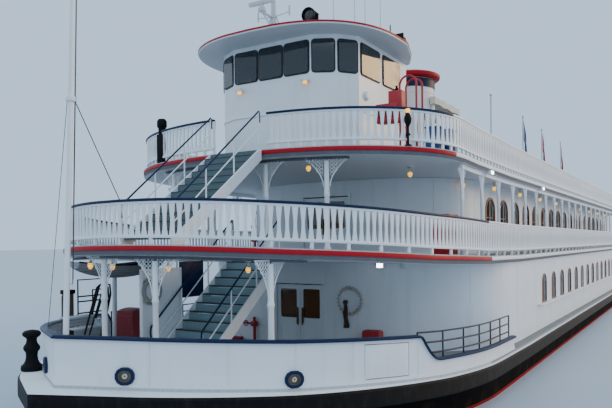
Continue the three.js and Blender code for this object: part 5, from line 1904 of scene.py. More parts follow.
steps_u = [CANOPY_FROM + (CANOPY_TO - CANOPY_FROM) * k / 18 for k in range(19)]
steps_y = [CANOPY_HALF * (k / 12 - 1) for k in range(25)]
canopy_rows = []
for u in [steps_u[0], *steps_u, steps_u[-1]]:
    edge_z = CANOPY_HEM + 0.04 * abs(math.sin(math.pi * (u - CANOPY_FROM) / HOOP_PITCH))
    canopy_rows.append(
        [(u, -CANOPY_HALF, edge_z)] + [
            (u, y, canopy_height(u, y)) for y in steps_y
        ] + [(u, CANOPY_HALF, edge_z)]
    )
for end in (0, -1):
    canopy_rows[end] = [
        (u, y, CANOPY_HEM + 0.04 * abs(math.sin(math.pi * y / HOOP_PITCH)))
        for u, y, _ in canopy_rows[end]
    ]
canopy = cloth(canopy_rows)
canopy = cut(canopy, [moved(cylinder(1.0, -1, 1, 32), standing(*TOWER_AT, CANOPY_EDGE))])
canopy_cloth = piece("canopy_canvas", [canopy], canopy_cream, replaces=["awning"])
drop = CANOPY_EDGE - CANOPY_HEM
canopy_flat = (
    (2 * CANOPY_HALF + 2 * drop + 0.02) * SCALE, (CANOPY_TO - CANOPY_FROM + 2 * drop + 0.03) * SCALE
)
frame_bars = []
for u, reach in CANOPY_HOOPS:
    arc = [
        (u, y, canopy_height(CANOPY_FROM, y) - 0.045)
        for y in [CANOPY_BAR * (k / 8 - 1) for k in range(17)]
    ]
    frame_bars.append(pipe([spot for spot in arc if spot[1] < reach], 0.022))
bar_z = CANOPY_EDGE - 0.06
for y in (-CANOPY_BAR, CANOPY_BAR):
    frame_bars.append(pipe([(CANOPY_POSTS[0], y, bar_z), (CANOPY_POSTS[1], y, bar_z)], 0.026))
    post_y = y * 0.983
    for u in CANOPY_POSTS:
        frame_bars.append(block(about(u, 0.055), about(post_y, 0.055), (DECK3_Z + SEAT, bar_z)))
piece("canopy_frame", frame_bars, white)
print(
    "canopy area:", round(sheet_area(canopy_cloth), 3), "square metres of",
    [round(side, 2) for side in canopy_flat]
)

# %% [markdown]
# Beside the wheelhouse stand two red pipe hoops with a red housing. Each hoop is one pipe
# that is bent over at its head, with a small flange at either foot.

# %% Red hoops
HOOPS_AT = (8.3, 8.75)
HOOP_Y, HOOP_HALF, HOOP_Z = 4.45, 0.25, 11.0
bars = []
for u in HOOPS_AT:
    arc = [
        (u, HOOP_Y + HOOP_HALF * math.cos(a), HOOP_Z + HOOP_HALF * math.sin(a))
        for a in [math.pi * k / 14 for k in range(15)]
    ]
    feet = sun_z(u - 0.05) + 0.006
    bars.append(pipe([(u, HOOP_Y + HOOP_HALF, feet), *arc, (u, HOOP_Y - HOOP_HALF, feet)], 0.03, sides=10))
    bars += [
        moved(
            turned([(0.03, 0.0), (0.08, 0.0), (0.08, 0.02), (0.03, 0.03)], 12),
            standing(u, HOOP_Y + s * HOOP_HALF, feet)
        )
        for s in (1, -1)
    ]
inner_y = HOOP_Y - HOOP_HALF
bars.append(block((HOOPS_AT[0], HOOPS_AT[1]), about(inner_y, 0.018), (HOOP_Z - 0.9, HOOP_Z - 0.84)))
box_at = about(HOOPS_AT[0], 0.19)
bars.append(block(box_at, (inner_y - 0.69, inner_y - 0.01), (HOOP_Z - 1.045, HOOP_Z - 0.5), soft=0.03))
bars.append(
    block(
        (box_at[0] + 0.03, box_at[1] - 0.03), (inner_y - 0.3, inner_y + 0.12),
        (HOOP_Z - 0.7, HOOP_Z - 0.15), soft=0.03
    )
)
piece("red_hoops_and_housing", bars, red, replaces=["bell_frame"])
print("red hoops:", len(made), "pieces so far")

# %% [markdown]
# Small fittings come next: a grille and a horn on the red housing, the side light on the edge
# of the roof, a lantern, a drum on its cabinet and two blue bins. Each of them takes only two
# or three of the basic shapes.

# %% Small fittings of the sun deck
grille = [
    block((box_at[0] - 0.006, box_at[0] + 0.01), (inner_y - 0.6, inner_y - 0.1), (z, z + 0.03), soft=0)
    for z in (10.1, 10.17, 10.24, 10.31)
]
horn = solid([(0.05, 0), (0.06, 0.06), (0.03, 0.1), (0.03, 0.16)], 14)
horn = moved(horn, standing(HOOPS_AT[0], inner_y - 0.1, HOOP_Z - 0.15))
side_light = [
    block((10.75, 11.2), (3.05, 3.2), (CABIN_TOP + 0.1, 13.3)),
    block((10.72, 10.78), (3.0, 3.3), (CABIN_TOP + 0.1, 13.34)),
    upright(10.6, 2.9, CABIN_TOP + 0.1, 13.62, 0.02)
]
piece("black_roof_fittings", [*grille, horn, *side_light], black)
red_lens = moved(
    solid([(0.07, 0), (0.08, 0.05), (0.08, 0.17), (0.05, 0.2)], 16),
    standing(10.95, 3.24, CABIN_TOP + 0.13)
)
piece("port_side_light", [red_lens], red)

urn_profile = [
    (0, 0), (0.08, 0), (0.03, 0.08), (0.03, 0.22), (0.09, 0.34), (0.1, 0.44), (0.07, 0.54), (0.03, 0.6),
    (0, 0.6)
]
urn_z = sun_z(7.2) + SEAT
URN_AT = (7.28, 4.86)
urn = moved(turned(urn_profile, 16), standing(*URN_AT, urn_z + 0.28))
urn_stand = moved(solid([(0.1, 0), (0.1, 0.02), (0.03, 0.05), (0.03, 0.282)], 12), standing(*URN_AT, urn_z))
urn_lamp = moved(
    turned([(0, 0), (0.05, 0), (0.065, 0.05), (0.055, 0.1), (0, 0.12)], 14),
    standing(*URN_AT, urn_z + 0.882)
)
piece("urn_lamp", [urn_lamp], warm_glow)
drum_profile = [(0, 0), (0.11, 0), (0.12, 0.2), (0.16, 0.26), (0.16, 0.42), (0.11, 0.5), (0, 0.52)]
drum = moved(turned(drum_profile, 20), standing(6.45, -3.25, 10.06))
cabinet = block((6.33, 6.57), (-3.37, -3.13), (sun_z(6.3) + SEAT, 10.062))
piece("sun_deck_dark_fittings", [urn, urn_stand, drum, cabinet], black)
bins = []
for u in (8.45, 9.1):
    y = half_breadth(DECK3_PLAN, u) - 0.45
    bins.append(block(about(u, 0.2), about(y, 0.2), (sun_z(u - 0.2) + SEAT, DECK3_Z + 0.74), soft=0.03))
    bins.append(block(about(u, 0.22), about(y, 0.22), (DECK3_Z + 0.74, DECK3_Z + 0.8), soft=0.02))
piece("blue_bins", bins, bin_blue)
print("small fittings:", len(made), "pieces so far")

# %% [markdown]
# Flagpoles stand along the port railing, and three of them have a plain flag. A flag droops
# from its upper corner, so every row of its places starts lower than the one before, and two
# sine waves give it folds.

# %% Flagpoles and flags
FLAGPOLES = (12.8, 17.3, 20.8, 25.2)
FLAG_COLOURS = {17.3: blue_canvas, 20.8: dark_canvas, 25.2: dark_canvas}
FLAG_TOP = 11.4
FLAG_INSET = 0.22
poles = []
for u in FLAGPOLES:
    y = half_breadth(DECK3_PLAN, u) - FLAG_INSET
    poles.append(upright(u, y, sun_z(u) + SEAT, FLAG_TOP, 0.026))
    poles.append(
        moved(
            turned([(0, 0), (0.04, 0), (0.045, 0.03), (0.025, 0.06), (0, 0.07)], 12),
            standing(u, y, FLAG_TOP - 0.01)
        )
    )
    poles += [block(about(u, 0.03), (y, y + 0.15), (z, z + 0.05)) for z in (DECK3_Z + 0.3, DECK3_Z + 0.85)]
piece("flagpoles", poles, shaded_mast_white)
FLAG_FLY, FLAG_HOIST = 1.25, 0.8
for k, (u0, finish) in enumerate(FLAG_COLOURS.items()):
    y0 = half_breadth(DECK3_PLAN, u0) - FLAG_INSET
    rows = []
    for i in range(13):
        share = i / 12
        out = 0.035 + 0.42 * math.sin(math.pi / 2 * min(share * 1.3, 1))
        fall = FLAG_FLY * 0.88 * share ** 1.12
        row = []
        for j in range(11):
            fold = 0.05 * math.sin(j * 1.9 + k) * share
            row.append((u0 + out + fold, y0 + 0.045 * math.sin(j * 1.3 + share * 3 + k) * share,
                        FLAG_TOP - 0.05 - fall - FLAG_HOIST * (1 - 0.3 * share) * j / 10))
        rows.append(row)
    banner = piece(f"plain_flag_{k + 1}", [cloth(rows, 0.004)], finish)
print("flags:", len(made), "pieces so far")

# %% [markdown]
# The tall jackstaff leans a little aft from the stem, with its collar, halyards and a stay
# to the second deck. One function gives any place on the raked staff, so the lines end on it.

# %% Jackstaff and rigging
STAFF_U, STAFF_LENGTH, STAFF_RAKE = 0.16, 11.2, 0.035
COLLAR_HEIGHT = 6.0
staff_foot = main_z(STAFF_U - 0.09) + 0.0006


def on_staff(height, abaft=0.0, aside=0.0):
    """A real place on the raked staff, or abaft it or beside it."""
    return STAFF_U + math.sin(STAFF_RAKE) * height + abaft, aside, staff_foot + height


lean = standing(STAFF_U, 0, staff_foot) @ Matrix.Rotation(-STAFF_RAKE, 4, "Y")
staff = moved(
    turned(
        [
            (0, 0.06), (0.065, 0.06), (0.045, STAFF_LENGTH), (0.06, STAFF_LENGTH),
            (0.06, STAFF_LENGTH + 0.04), (0, STAFF_LENGTH + 0.06)
        ],
        20
    ),
    lean
)
socket = moved(solid([(0.09, 0), (0.09, 0.34), (0.075, 0.36)], 24), standing(STAFF_U, 0, staff_foot))
collar = moved(
    turned([(0.05, 0), (0.1, 0.01), (0.11, 0.05), (0.1, 0.11), (0.05, 0.12)], 20),
    lean @ shift(0, 0, COLLAR_HEIGHT)
)
cleats = [pipe([on_staff(h, 0.06), on_staff(h, 0.16)], 0.016) for h in (2.1, COLLAR_HEIGHT + 0.05)]
cleats += [
    pipe([on_staff(h - 0.08, 0.15), on_staff(h + 0.08, 0.16)], 0.016)
    for h in (2.1, COLLAR_HEIGHT + 0.05)
]
piece("raked_jackstaff", [staff, socket, collar, *cleats], white, replaces=["jackstaff"])
HALYARD = 0.007
stay_foot = (1.78, -0.07, boiler_z(1.78) + RAIL_HEIGHT - 0.01)
lines = [
    pipe([on_staff(2.1, 0.16), on_staff(STAFF_LENGTH, 0.09)], HALYARD, sides=6),
    pipe([on_staff(2.1, 0.13, 0.02), on_staff(STAFF_LENGTH, 0.05, 0.02)], HALYARD, sides=6),
    pipe(
        [on_staff(COLLAR_HEIGHT, -0.02, -0.08), (0.78, -1.38, main_z(0.78) + BULWARK_HEIGHT + 0.06)],
        HALYARD, sides=6
    ),
    pipe([on_staff(COLLAR_HEIGHT + 0.06, 0.1), stay_foot], 0.011, sides=6)
]
piece("staff_rigging", lines, dark_line)
print("jackstaff and rigging:", len(made), "pieces so far")

# %% [markdown]
# The iron mooring post stands outside the bulwark on the guard's ledge. It was cast in one
# piece with a waist and two beads, so it is turned from one long profile.

# %% Mooring post
POST_AT = (1.217, -2.612)
# radius, height
POST_PROFILE = [
    (0, 0), (0.25, 0), (0.26, 0.06), (0.25, 0.12), (0.19, 0.17), (0.15, 0.25), (0.135, 0.36),
    (0.145, 0.45), (0.185, 0.5), (0.2, 0.55), (0.185, 0.6), (0.14, 0.66), (0.12, 0.73), (0.125, 0.79),
    (0.19, 0.84), (0.22, 0.88), (0.215, 0.93), (0.17, 0.97), (0.06, 0.995), (0, 1)
]
mooring = moved(turned(POST_PROFILE, 32), standing(*POST_AT, GUARD_TOP + rise(POST_AT[0]) - 0.0013))
piece("iron_mooring_post", [mooring], black, replaces=["mooring_post"])
print("mooring post:", len(made), "pieces so far")

# %% [markdown]
# Caged globes hang under the decks. Each has a turned mount and a turned jar, with two rings
# and four bent wires for its cage. One function makes a lamp, and tables say where they hang.

# %% Ceiling lamps
# u, y
MAIN_LAMPS = [(2.1, -1.5), (2.73, -1.42), (3.85, -0.54), (4.96, 1.26)]
BOILER_LAMPS = [(6.7, 2.1), (9.15, 4.14), (13.0, 4.5)]
SIDE_LAMPS = [(14.9 + 3.9 * k, 5.05) for k in range(10)]


def ceiling_lamp(u, y, ceiling):
    """The fixture and the glass of one lamp that hangs under a deck."""
    place = standing(u, y, ceiling + rise(u))
    mount = solid([(0.09, -0.003), (0.085, -0.04), (0.03, -0.06), (0.03, -0.14), (0.06, -0.18)], 14)
    guards = [moved(hoop(0.08, 0.005, 14, 4), shift(0, 0, -z)) for z in (0.21, 0.28)]
    bars = [
        pipe(
            [
                (0.08 * math.cos(a), 0.08 * math.sin(a), -0.18),
                (0.08 * math.cos(a), 0.08 * math.sin(a), -0.28), (0, 0, -0.345)
            ],
            0.004, sides=4
        )
        for a in [k * math.pi / 2 for k in range(4)]
    ]
    bars = [moved(bar, TO_ORIGIN) for bar in bars]
    jar = turned([(0, -0.18), (0.05, -0.18), (0.068, -0.22), (0.066, -0.28), (0.035, -0.325), (0, -0.33)], 14)
    return [moved(part, place) for part in (mount, *guards, *bars)], moved(jar, place)


fixtures, jars = [], []
for places, ceiling in [(MAIN_LAMPS, DECK2_UNDER), (BOILER_LAMPS, DECK3_UNDER), (SIDE_LAMPS, DECK3_UNDER),
                        ([(u, -y) for u, y in SIDE_LAMPS], DECK3_UNDER)]:
    for u, y in places:
        parts, jar = ceiling_lamp(u, y, ceiling)
        fixtures += parts
        jars.append(jar)
piece("lamp_fixtures", fixtures, steel)
piece("lamp_globes", jars, warm_glow)
print("ceiling lamps:", len(jars))

# %% [markdown]
# Brighter lamps are boxes or round housings with a glowing face: one over the bow doors, two
# under the visor of the wheelhouse and two on the edge of the third deck. Only the faces glow.

# %% Floodlights and visor lamps
flood_u = front_at(HOUSE1_PLAN, 2.85)
flood_z = 5.8
floods = [block((flood_u - 0.2, flood_u - 0.08), (2.72, 2.98), about(flood_z, 0.09), soft=0.02),
          block((flood_u - 0.1, flood_u + 0.01), (2.82, 2.88), about(flood_z, 0.03))]
lit = block((flood_u - 0.206, flood_u - 0.2), (2.745, 2.955), about(flood_z, 0.065), soft=0)
visor_lit = []
for y in (-1.12, 1.36):
    floods.append(
        moved(
            turned([(0, 0), (0.14, 0), (0.15, 0.04), (0.11, 0.1), (0, 0.13)], 18),
            standing(7.76, y, 11.42)
        )
    )
    floods.append(block((7.78, 7.94), about(y, 0.03), (11.46, 11.5)))
    visor_lit.append(
        moved(
            turned([(0, -0.1), (0.05, -0.08), (0.07, -0.03), (0.06, 0.0), (0, 0)], 14),
            standing(7.76, y, 11.418)
        )
    )
tubes = []
for u in (11.74, 19.5):
    y = half_breadth(DECK3_PLAN, u)
    floods.append(block(about(u, 0.14), (y - 0.02, y + 0.1), (DECK3_Z - 0.3, DECK3_Z - 0.16), soft=0.02))
    tubes.append(block(about(u, 0.12), (y + 0.1, y + 0.112), (DECK3_Z - 0.28, DECK3_Z - 0.18), soft=0))
wall_box_u = front_at(HOUSE1_PLAN, 3.51)
floods.append(block((wall_box_u - 0.13, wall_box_u + 0.01), (3.42, 3.6), (5.68, 5.9)))
side_u = 9.35
floods.append(moved(turned([(0, 0), (0.14, 0), (0.15, 0.05), (0.1, 0.1), (0, 0.11)], 18),
                    standing(side_u, 2.598, 11.1) @ Matrix.Rotation(-math.pi / 2, 4, "X")))
piece("floodlight_housings", floods, white)
piece("floodlight_faces", [lit, *tubes], cool_glow)
piece("visor_lamp_faces", visor_lit, warm_glow)
print("lamps:", len(jars), "globes")

# %% [markdown]
# The bow deck is where the crew works. Its tallest thing is a red locker under dark canvas.
# The cover is one sheet through rows of places that run up one side, over the top and down
# the other, and a little waviness pinches it like real cloth.

# %% Covered locker
BOX_U, BOX_Y, BOX_TALL = (4.05, 4.65), (-2.75, -2.1), 1.4
box_foot = main_z(BOX_U[0]) + SEAT


def cover_line(low, high, tall, drop_steps=7, flat_steps=6):
    """Across a box from hem to hem, as (place, how far below the top)."""
    down = [(low, tall * (1 - k / drop_steps)) for k in range(drop_steps)]
    flat = [(low + (high - low) * k / flat_steps, 0.0) for k in range(flat_steps + 1)]
    return down + flat + [(high, drop) for _, drop in reversed(down)]


cover_rows = []
for i, (u, drop_u) in enumerate(cover_line(BOX_U[0], BOX_U[1], BOX_TALL - 0.03)):
    row = []
    for j, (y, drop_y) in enumerate(cover_line(BOX_Y[0], BOX_Y[1], BOX_TALL - 0.03)):
        drop = max(drop_u, drop_y)
        pinch = 0.02 * math.sin(i * 2.1 + j * 1.7) * min(drop, 1)
        crown = 0.05 * (1 - abs(2 * (u - BOX_U[0]) / (BOX_U[1] - BOX_U[0]) - 1) ** 2)
        row.append(
            (
                u + pinch * (1 if u > 4.35 else -1) * 0.5, y + pinch * 0.5,
                box_foot + BOX_TALL - 0.05 - drop + (crown if not drop else 0)
            )
        )
    cover_rows.append(row)
cover = piece(
    "locker_cover", [cloth(cover_rows, 0.006, relax=2)], dark_canvas, replaces=["canvas_box"],
)
locker = block(
    (BOX_U[0] + 0.03, BOX_U[1] - 0.03), (BOX_Y[0] + 0.03, BOX_Y[1] - 0.03),
    (box_foot, box_foot + BOX_TALL - 0.09)
)
piece("covered_locker", [locker], red)
print("covered locker:", len(made), "pieces so far")

# %% [markdown]
# Portable steps lead up to the bulwark. Bent tubes beside them are their handrails, and an old
# timber chest stands close by. The treads rise by even amounts, so a loop lays them, and every
# tube is a pipe through the points where it bends.

# %% Boarding steps
steps, risers = [], []
for k in range(3):
    y, z = -1.6 - 0.3 * k, 4.18 + 0.26 * k
    steps.append(block((1.95, 2.8), (y - 0.3, y + 0.02), (z - 0.05, z), soft=0.01))
    risers.append(block((1.97, 2.78), (y - 0.02, y), (z - 0.25, z - 0.05), soft=0))
side = board([(1.6, 3.85), (1.6, 4.07), (2.2, 4.63), (2.52, 4.63), (2.52, 3.42), (2.4, 3.42)], 0.03)
steps.append(moved(side, Matrix.Translation(at(2.8, 0, 0)) @ Matrix.Rotation(-math.pi / 2, 4, "Z")))
legs = [upright(u, y, main_z(u) + SEAT, 4.0, 0.03) for u in (2.06, 2.74) for y in (-1.68, -2.45)]
piece("boarding_steps", [*steps, *legs], step_grey)
piece("boarding_step_risers", risers, clinker_grey)
rails = []
for u, y in [(2.62, -2.25), (2.0, -1.62)]:
    rails.append(
        pipe(
            [
                (u, y, 4.3), (u + 0.4, y, 5.45), (u + 0.5, y, 5.52), (u + 0.75, y, 5.45),
                (u + 0.78, y, 5.2), (u + 0.3, y, main_z(u + 0.3) + 0.006)
            ],
            0.025
        )
    )
    rails.append(pipe([(u + 0.08, y, 4.1), (u + 0.55, y, 5.3)], 0.02))
grid_y = -3.1
for u0, u1, low, high in [(3.0, 3.9, 3.42, 5.58), (3.5, 3.9, 3.4, 5.28)]:
    rails.append(
        pipe(
            [(u0, grid_y, low), (u0, grid_y, high), (u1, grid_y, high), (u1, grid_y, low - 0.02)], 0.022
        )
    )
rails += [pipe([(3.0, grid_y, z), (3.9, grid_y, z)], 0.02) for z in (5.12, 4.98, 4.66)]
piece("boarding_handrails", rails, black)
chest = block((2.3, 2.55), (-2.87, -2.70), (main_z(2.3) + SEAT, 5.25), soft=0.01)
chest_trim = [block((2.285, 2.3), (y, y + 0.03), (3.6, 5.2), soft=0.004) for y in (-2.87, -2.73)]
piece("timber_chest", [chest, *chest_trim], old_timber)
chest_lid = block((2.27, 2.58), (-2.90, -2.67), (5.252, 5.36))
piece("chest_lid", [chest_lid], black)
print("boarding steps:", len(made), "pieces so far")

# %% [markdown]
# A clinker-built skiff hangs under the second deck. Its hull is a skin over seventeen sections
# that grow fuller towards the middle, which is also how a boat builder would draw it. The
# gunwales follow the same sections.

# %% Slung skiff
SKIFF_U, SKIFF_Y, SKIFF_RIM = (2.3, 5.35), -2.35, 5.98
sections, rim_path = [], []
for k in range(17):
    share = k / 16
    u = SKIFF_U[0] + (SKIFF_U[1] - SKIFF_U[0]) * share
    fullness = max(math.sin(math.pi * (0.06 + 0.86 * share)), 0.02) ** 0.55
    half, deep = 0.47 * fullness, 0.36 * fullness ** 0.7
    rim_z = SKIFF_RIM + 0.12 * (2 * share - 1) ** 2
    arc = [
        (half * math.cos(a), rim_z - deep * math.sin(a) ** 0.8)
        for a in [math.pi * j / 12 for j in range(1, 12)]
    ]
    sections.append(
        [
            at(u, SKIFF_Y + half, rim_z), *[at(u, SKIFF_Y + y, z) for y, z in arc],
            at(u, SKIFF_Y - half, rim_z)
        ]
    )
    rim_path.append((u, half, rim_z))
piece("slung_skiff", [skin(sections)], clinker_grey)
gunwales = [pipe([(u, SKIFF_Y + s * half, z) for u, half, z in rim_path], 0.022, sides=6) for s in (1, -1)]
slings = [upright(u, SKIFF_Y + s * 0.3, SKIFF_RIM, DECK2_UNDER + rise(u) - 0.002, 0.016)
          for u in (3.1, 4.7) for s in (1, -1)]
piece("skiff_gunwales_and_slings", gunwales + slings, black)
print("skiff:", len(made), "pieces so far")

# %% [markdown]
# A timber screen closes the side of the lower stair, and a life ring hangs on it. The ring is a
# torus, and four small tori across it are the bands of its grab line.

# %% Stair screen and life ring
SCREEN_Y = STAIR_Y[0] - 0.075
screen = board([(0, main_z(3.1) + 0.003), (0, 5.86), (-1.38, 5.86), (-1.38, main_z(3.1) + 0.003)], 0.03)
screen_frame = surround([(0, 3.45), (0, 5.86), (-1.38, 5.86), (-1.38, 3.45)], 0.04, 0.05)
screen_struts = [upright(u, SCREEN_Y, 5.8, DECK2_UNDER + rise(u) - 0.002, 0.025) for u in (3.15, 4.4)]
piece(
    "stair_screen",
    [moved(part, standing(3.1, SCREEN_Y, 0)) for part in (screen, screen_frame)] + screen_struts,
    white_timber
)
side_board = block((4.5, 5.5), (SCREEN_Y - 0.03, SCREEN_Y - 0.005), (5.05, DECK2_UNDER + rise(5.5) - 0.002))
piece("stair_side_board", [side_board], navy)
ring_place = standing(3.37, SCREEN_Y + 0.08, 5.33) @ LAID_ACROSS
piece("life_ring", [moved(hoop(0.285, 0.062, 36, 10), ring_place)], life_ring_paint, smooth=60)
grab = moved(hoop(0.35, 0.011, 36, 6), ring_place)
bands = [moved(moved(hoop(0.064, 0.013, 14, 5), shift(0.285, 0, 0) @ LAID_ACROSS),
               ring_place @ Matrix.Rotation(math.pi / 4 + k * math.pi / 2, 4, "Z")) for k in range(4)]
hook = pipe([(3.37, SCREEN_Y + 0.01, 5.66), (3.37, SCREEN_Y + 0.09, 5.67)], 0.02)
piece("life_ring_line", [grab, *bands, hook], rope)
print("screen and life ring:", len(made), "pieces so far")

# %% [markdown]
# A wreath of pale rope hangs on the deckhouse beside the doors, with a brown sash tied to it.
# Three rings laid a little askew look like a coil, small rings round them look like its turns,
# and the sash is a sheet that hangs free.

# %% Rope wreath
WREATH_Y, WREATH_Z = 1.84, 4.66
wreath_u = front_at(HOUSE1_PLAN, WREATH_Y) - 0.06
wreath_at = standing(wreath_u, WREATH_Y, WREATH_Z) @ LAID_ALONG
coils = [
    moved(hoop(0.40 + 0.025 * k, 0.02, 40, 6), wreath_at @ Matrix.Rotation(0.06 * (k - 1), 4, "X"))
    for k in range(3)
]
knots = [moved(moved(hoop(0.055, 0.018, 10, 5), shift(0.42, 0, 0) @ LAID_ACROSS),
               wreath_at @ Matrix.Rotation(k * math.tau / 22, 4, "Z")) for k in range(22)]
piece("rope_wreath", [*coils, *knots], pale_rope)
sash_rows = [
    [
        (
            wreath_u - 0.09 + 0.03 * math.sin(i * 0.9 + j * 1.4), 1.66 + 0.03 * j * (1 + 0.06 * i),
            4.62 - 0.075 * i
        )
        for j in range(5)
    ]
    for i in range(12)
]
sash = piece("brown_sash", [cloth(sash_rows, 0.008)], brown_cloth)
knot = moved(
    turned([(0, -0.08), (0.07, -0.05), (0.09, 0), (0.07, 0.05), (0, 0.08)], 12),
    standing(wreath_u - 0.06, 1.72, 4.62)
)
piece("sash_knot", [knot], brown_cloth)
print("rope wreath:", len(made), "pieces so far")

# %% [markdown]
# Red fittings stand against the houses: fire standpipes with their valves, an oval deck box,
# and a hose cabinet on the second deck. Pipes, rings and blocks are enough for them, because
# each is small in the picture.

# %% Standpipes and cabinets
PIPE_Y, UPPER_PIPE_Y = -1.95, -4.0
pipe_u = front_at(HOUSE1_PLAN, -PIPE_Y) - 0.09
reds = [upright(pipe_u, PIPE_Y, main_z(pipe_u) + SEAT, 3.95, 0.05),
        pipe([(pipe_u, PIPE_Y, 3.7), (pipe_u + 0.02, -2.3, 3.72), (pipe_u + 0.16, -2.78, 3.74)], 0.035),
        moved(hoop(0.09, 0.018, 14, 5), standing(pipe_u - 0.03, -2.3, 3.72) @ LAID_ALONG),
        moved(hoop(0.08, 0.018, 14, 5), standing(pipe_u + 0.1, -2.78, 3.74) @ LAID_ALONG),
        block(about(pipe_u, 0.08), (-2.06, -1.84), (3.62, 3.8), soft=0.03),
        block((9.55, 9.75), (-3.4, -2.56), (3.1, 3.2), soft=0.02)]
reds += [block((9.58, 9.72), (y, y + 0.07), (main_z(9.58) + SEAT, 3.11)) for y in (-3.36, -2.67)]
upper_pipe_u = front_at(HOUSE2_PLAN, -UPPER_PIPE_Y) - 0.12
reds += [
    pipe(
        [
            (upper_pipe_u, UPPER_PIPE_Y, boiler_z(upper_pipe_u) + SEAT),
            (upper_pipe_u, UPPER_PIPE_Y, 7.75), (upper_pipe_u + 0.12, UPPER_PIPE_Y, 7.8)
        ],
        0.05
    ),
    moved(hoop(0.11, 0.022, 14, 5), standing(upper_pipe_u - 0.08, UPPER_PIPE_Y, 7.2) @ LAID_ALONG),
    block((upper_pipe_u - 0.1, upper_pipe_u + 0.08), (-4.15, -3.85), (6.6, 6.85), soft=0.04),
    pipe([(upper_pipe_u - 0.02, UPPER_PIPE_Y, 6.75), (upper_pipe_u - 0.1, -3.6, 6.75)], 0.045)
]
piece("fire_standpipes", reds, red)
case_u = front_at(HOUSE1_PLAN, 2.33)
deck_box = block((case_u - 0.42, case_u - 0.06), (2.36, 3.0), (main_z(case_u - 0.42) + SEAT, 3.78), soft=0.08)
piece("oval_deck_box", [deck_box], red)
locker_foot = boiler_z(8.6) + SEAT
parts = [block((8.61, 9.39), (5.01, 5.49), (locker_foot, locker_foot + 1.13), soft=0.02),
         block((8.59, 9.41), (4.99, 5.51), (locker_foot + 1.08, locker_foot + 1.15), soft=0.02)]
parts += [
    block(
        (8.63 + 0.38 * k, 8.98 + 0.38 * k), (5.488, 5.502), (locker_foot + 0.06, locker_foot + 1.04),
        soft=0.008
    )
    for k in range(2)
]
piece("hose_cabinet", parts, red, replaces=["hose_locker"])
handles = [
    block(
        (8.95 + 0.06 * k, 8.97 + 0.06 * k), (5.5, 5.53), (locker_foot + 0.5, locker_foot + 0.66), soft=0
    )
    for k in range(2)
]
piece("cabinet_handles", handles, brass)
print("standpipes and cabinets:", len(made), "pieces so far")

# %% [markdown]
# The stern wheel turns on a body of its own. Three frames of twelve timber arms carry twelve
# long paddles of two planks each. Iron rims and hubs hold the arms, and one shaft runs out to
# the bearings on the two stern beams, where it turns freely.

# %% Paddle wheel
WHEEL_U, WHEEL_Z = 60.6, 3.85
FRAME_YS = (-4.3, 0.0, 4.3)
SPOKE_STEP = math.tau / 12
SHAFT_RADIUS, SHAFT_END = 0.2, 5.65
HUB_RADIUS = 0.5
RIM = (1.69, 1.81)
PADDLE_END = 4.6


def around_origin(x, y, z, soft=0.012):
    """A block given by its model axes, in real metres from the origin."""
    return block((STEM - x[1], STEM - x[0]), y, z, soft=soft)


def crosswise(profile, y, steps=24):
    """A turned shape laid along the shaft of the wheel."""
    return moved(turned(profile, steps), standing(WHEEL_U, y, WHEEL_Z) @ LAID_ACROSS)


spokes = [standing(WHEEL_U, 0, WHEEL_Z) @ Matrix.Rotation(i * SPOKE_STEP, 4, "Y") for i in range(12)]
arms = joined([around_origin((-0.08, 0.08), about(y, 0.06), (0.4, 2.85)) for y in FRAME_YS])
boards = joined(
    [
        around_origin((0.07, 0.13), (-PADDLE_END, PADDLE_END), z, soft=0.01)
        for z in ((2.3, 2.595), (2.605, 2.9))
    ]
)
timbers = [copies(arms, spokes), copies(boards, spokes)]
piece(
    "paddle_wheel_timbers", timbers, paddle_red, body="paddle_wheel", replaces=["paddle_wheel"],
)
irons = [
    crosswise(
        [(0, -SHAFT_END), (SHAFT_RADIUS, -SHAFT_END), (SHAFT_RADIUS, SHAFT_END), (0, SHAFT_END)], 0
    )
]
for y in FRAME_YS:
    irons.append(crosswise([(0, -0.14), (HUB_RADIUS, -0.14), (HUB_RADIUS, 0.14), (0, 0.14)], y))
    irons.append(crosswise([(0.22, -0.2), (0.3, -0.2), (0.3, 0.2), (0.22, 0.2)], y))
    irons.append(crosswise([(RIM[0], -0.05), (RIM[1], -0.05), (RIM[1], 0.05), (RIM[0], 0.05)], y))
piece("paddle_wheel_irons", irons, black, body="paddle_wheel")
bolts = [around_origin((-0.1, 0.145), about(y, 0.025), about(z, 0.025), soft=0.006)
         for y in FRAME_YS for z in (2.45, 2.75)]
piece("paddle_wheel_bolts", [copies(joined(bolts), spokes)], steel, body="paddle_wheel")
print("paddle wheel:", len(made), "pieces so far")

# %% [markdown]
# Two heavy timber beams reach aft from the deck and carry the bearings of the wheel. Each
# bearing is bored a little wider than the shaft, so that the wheel turns without touching.

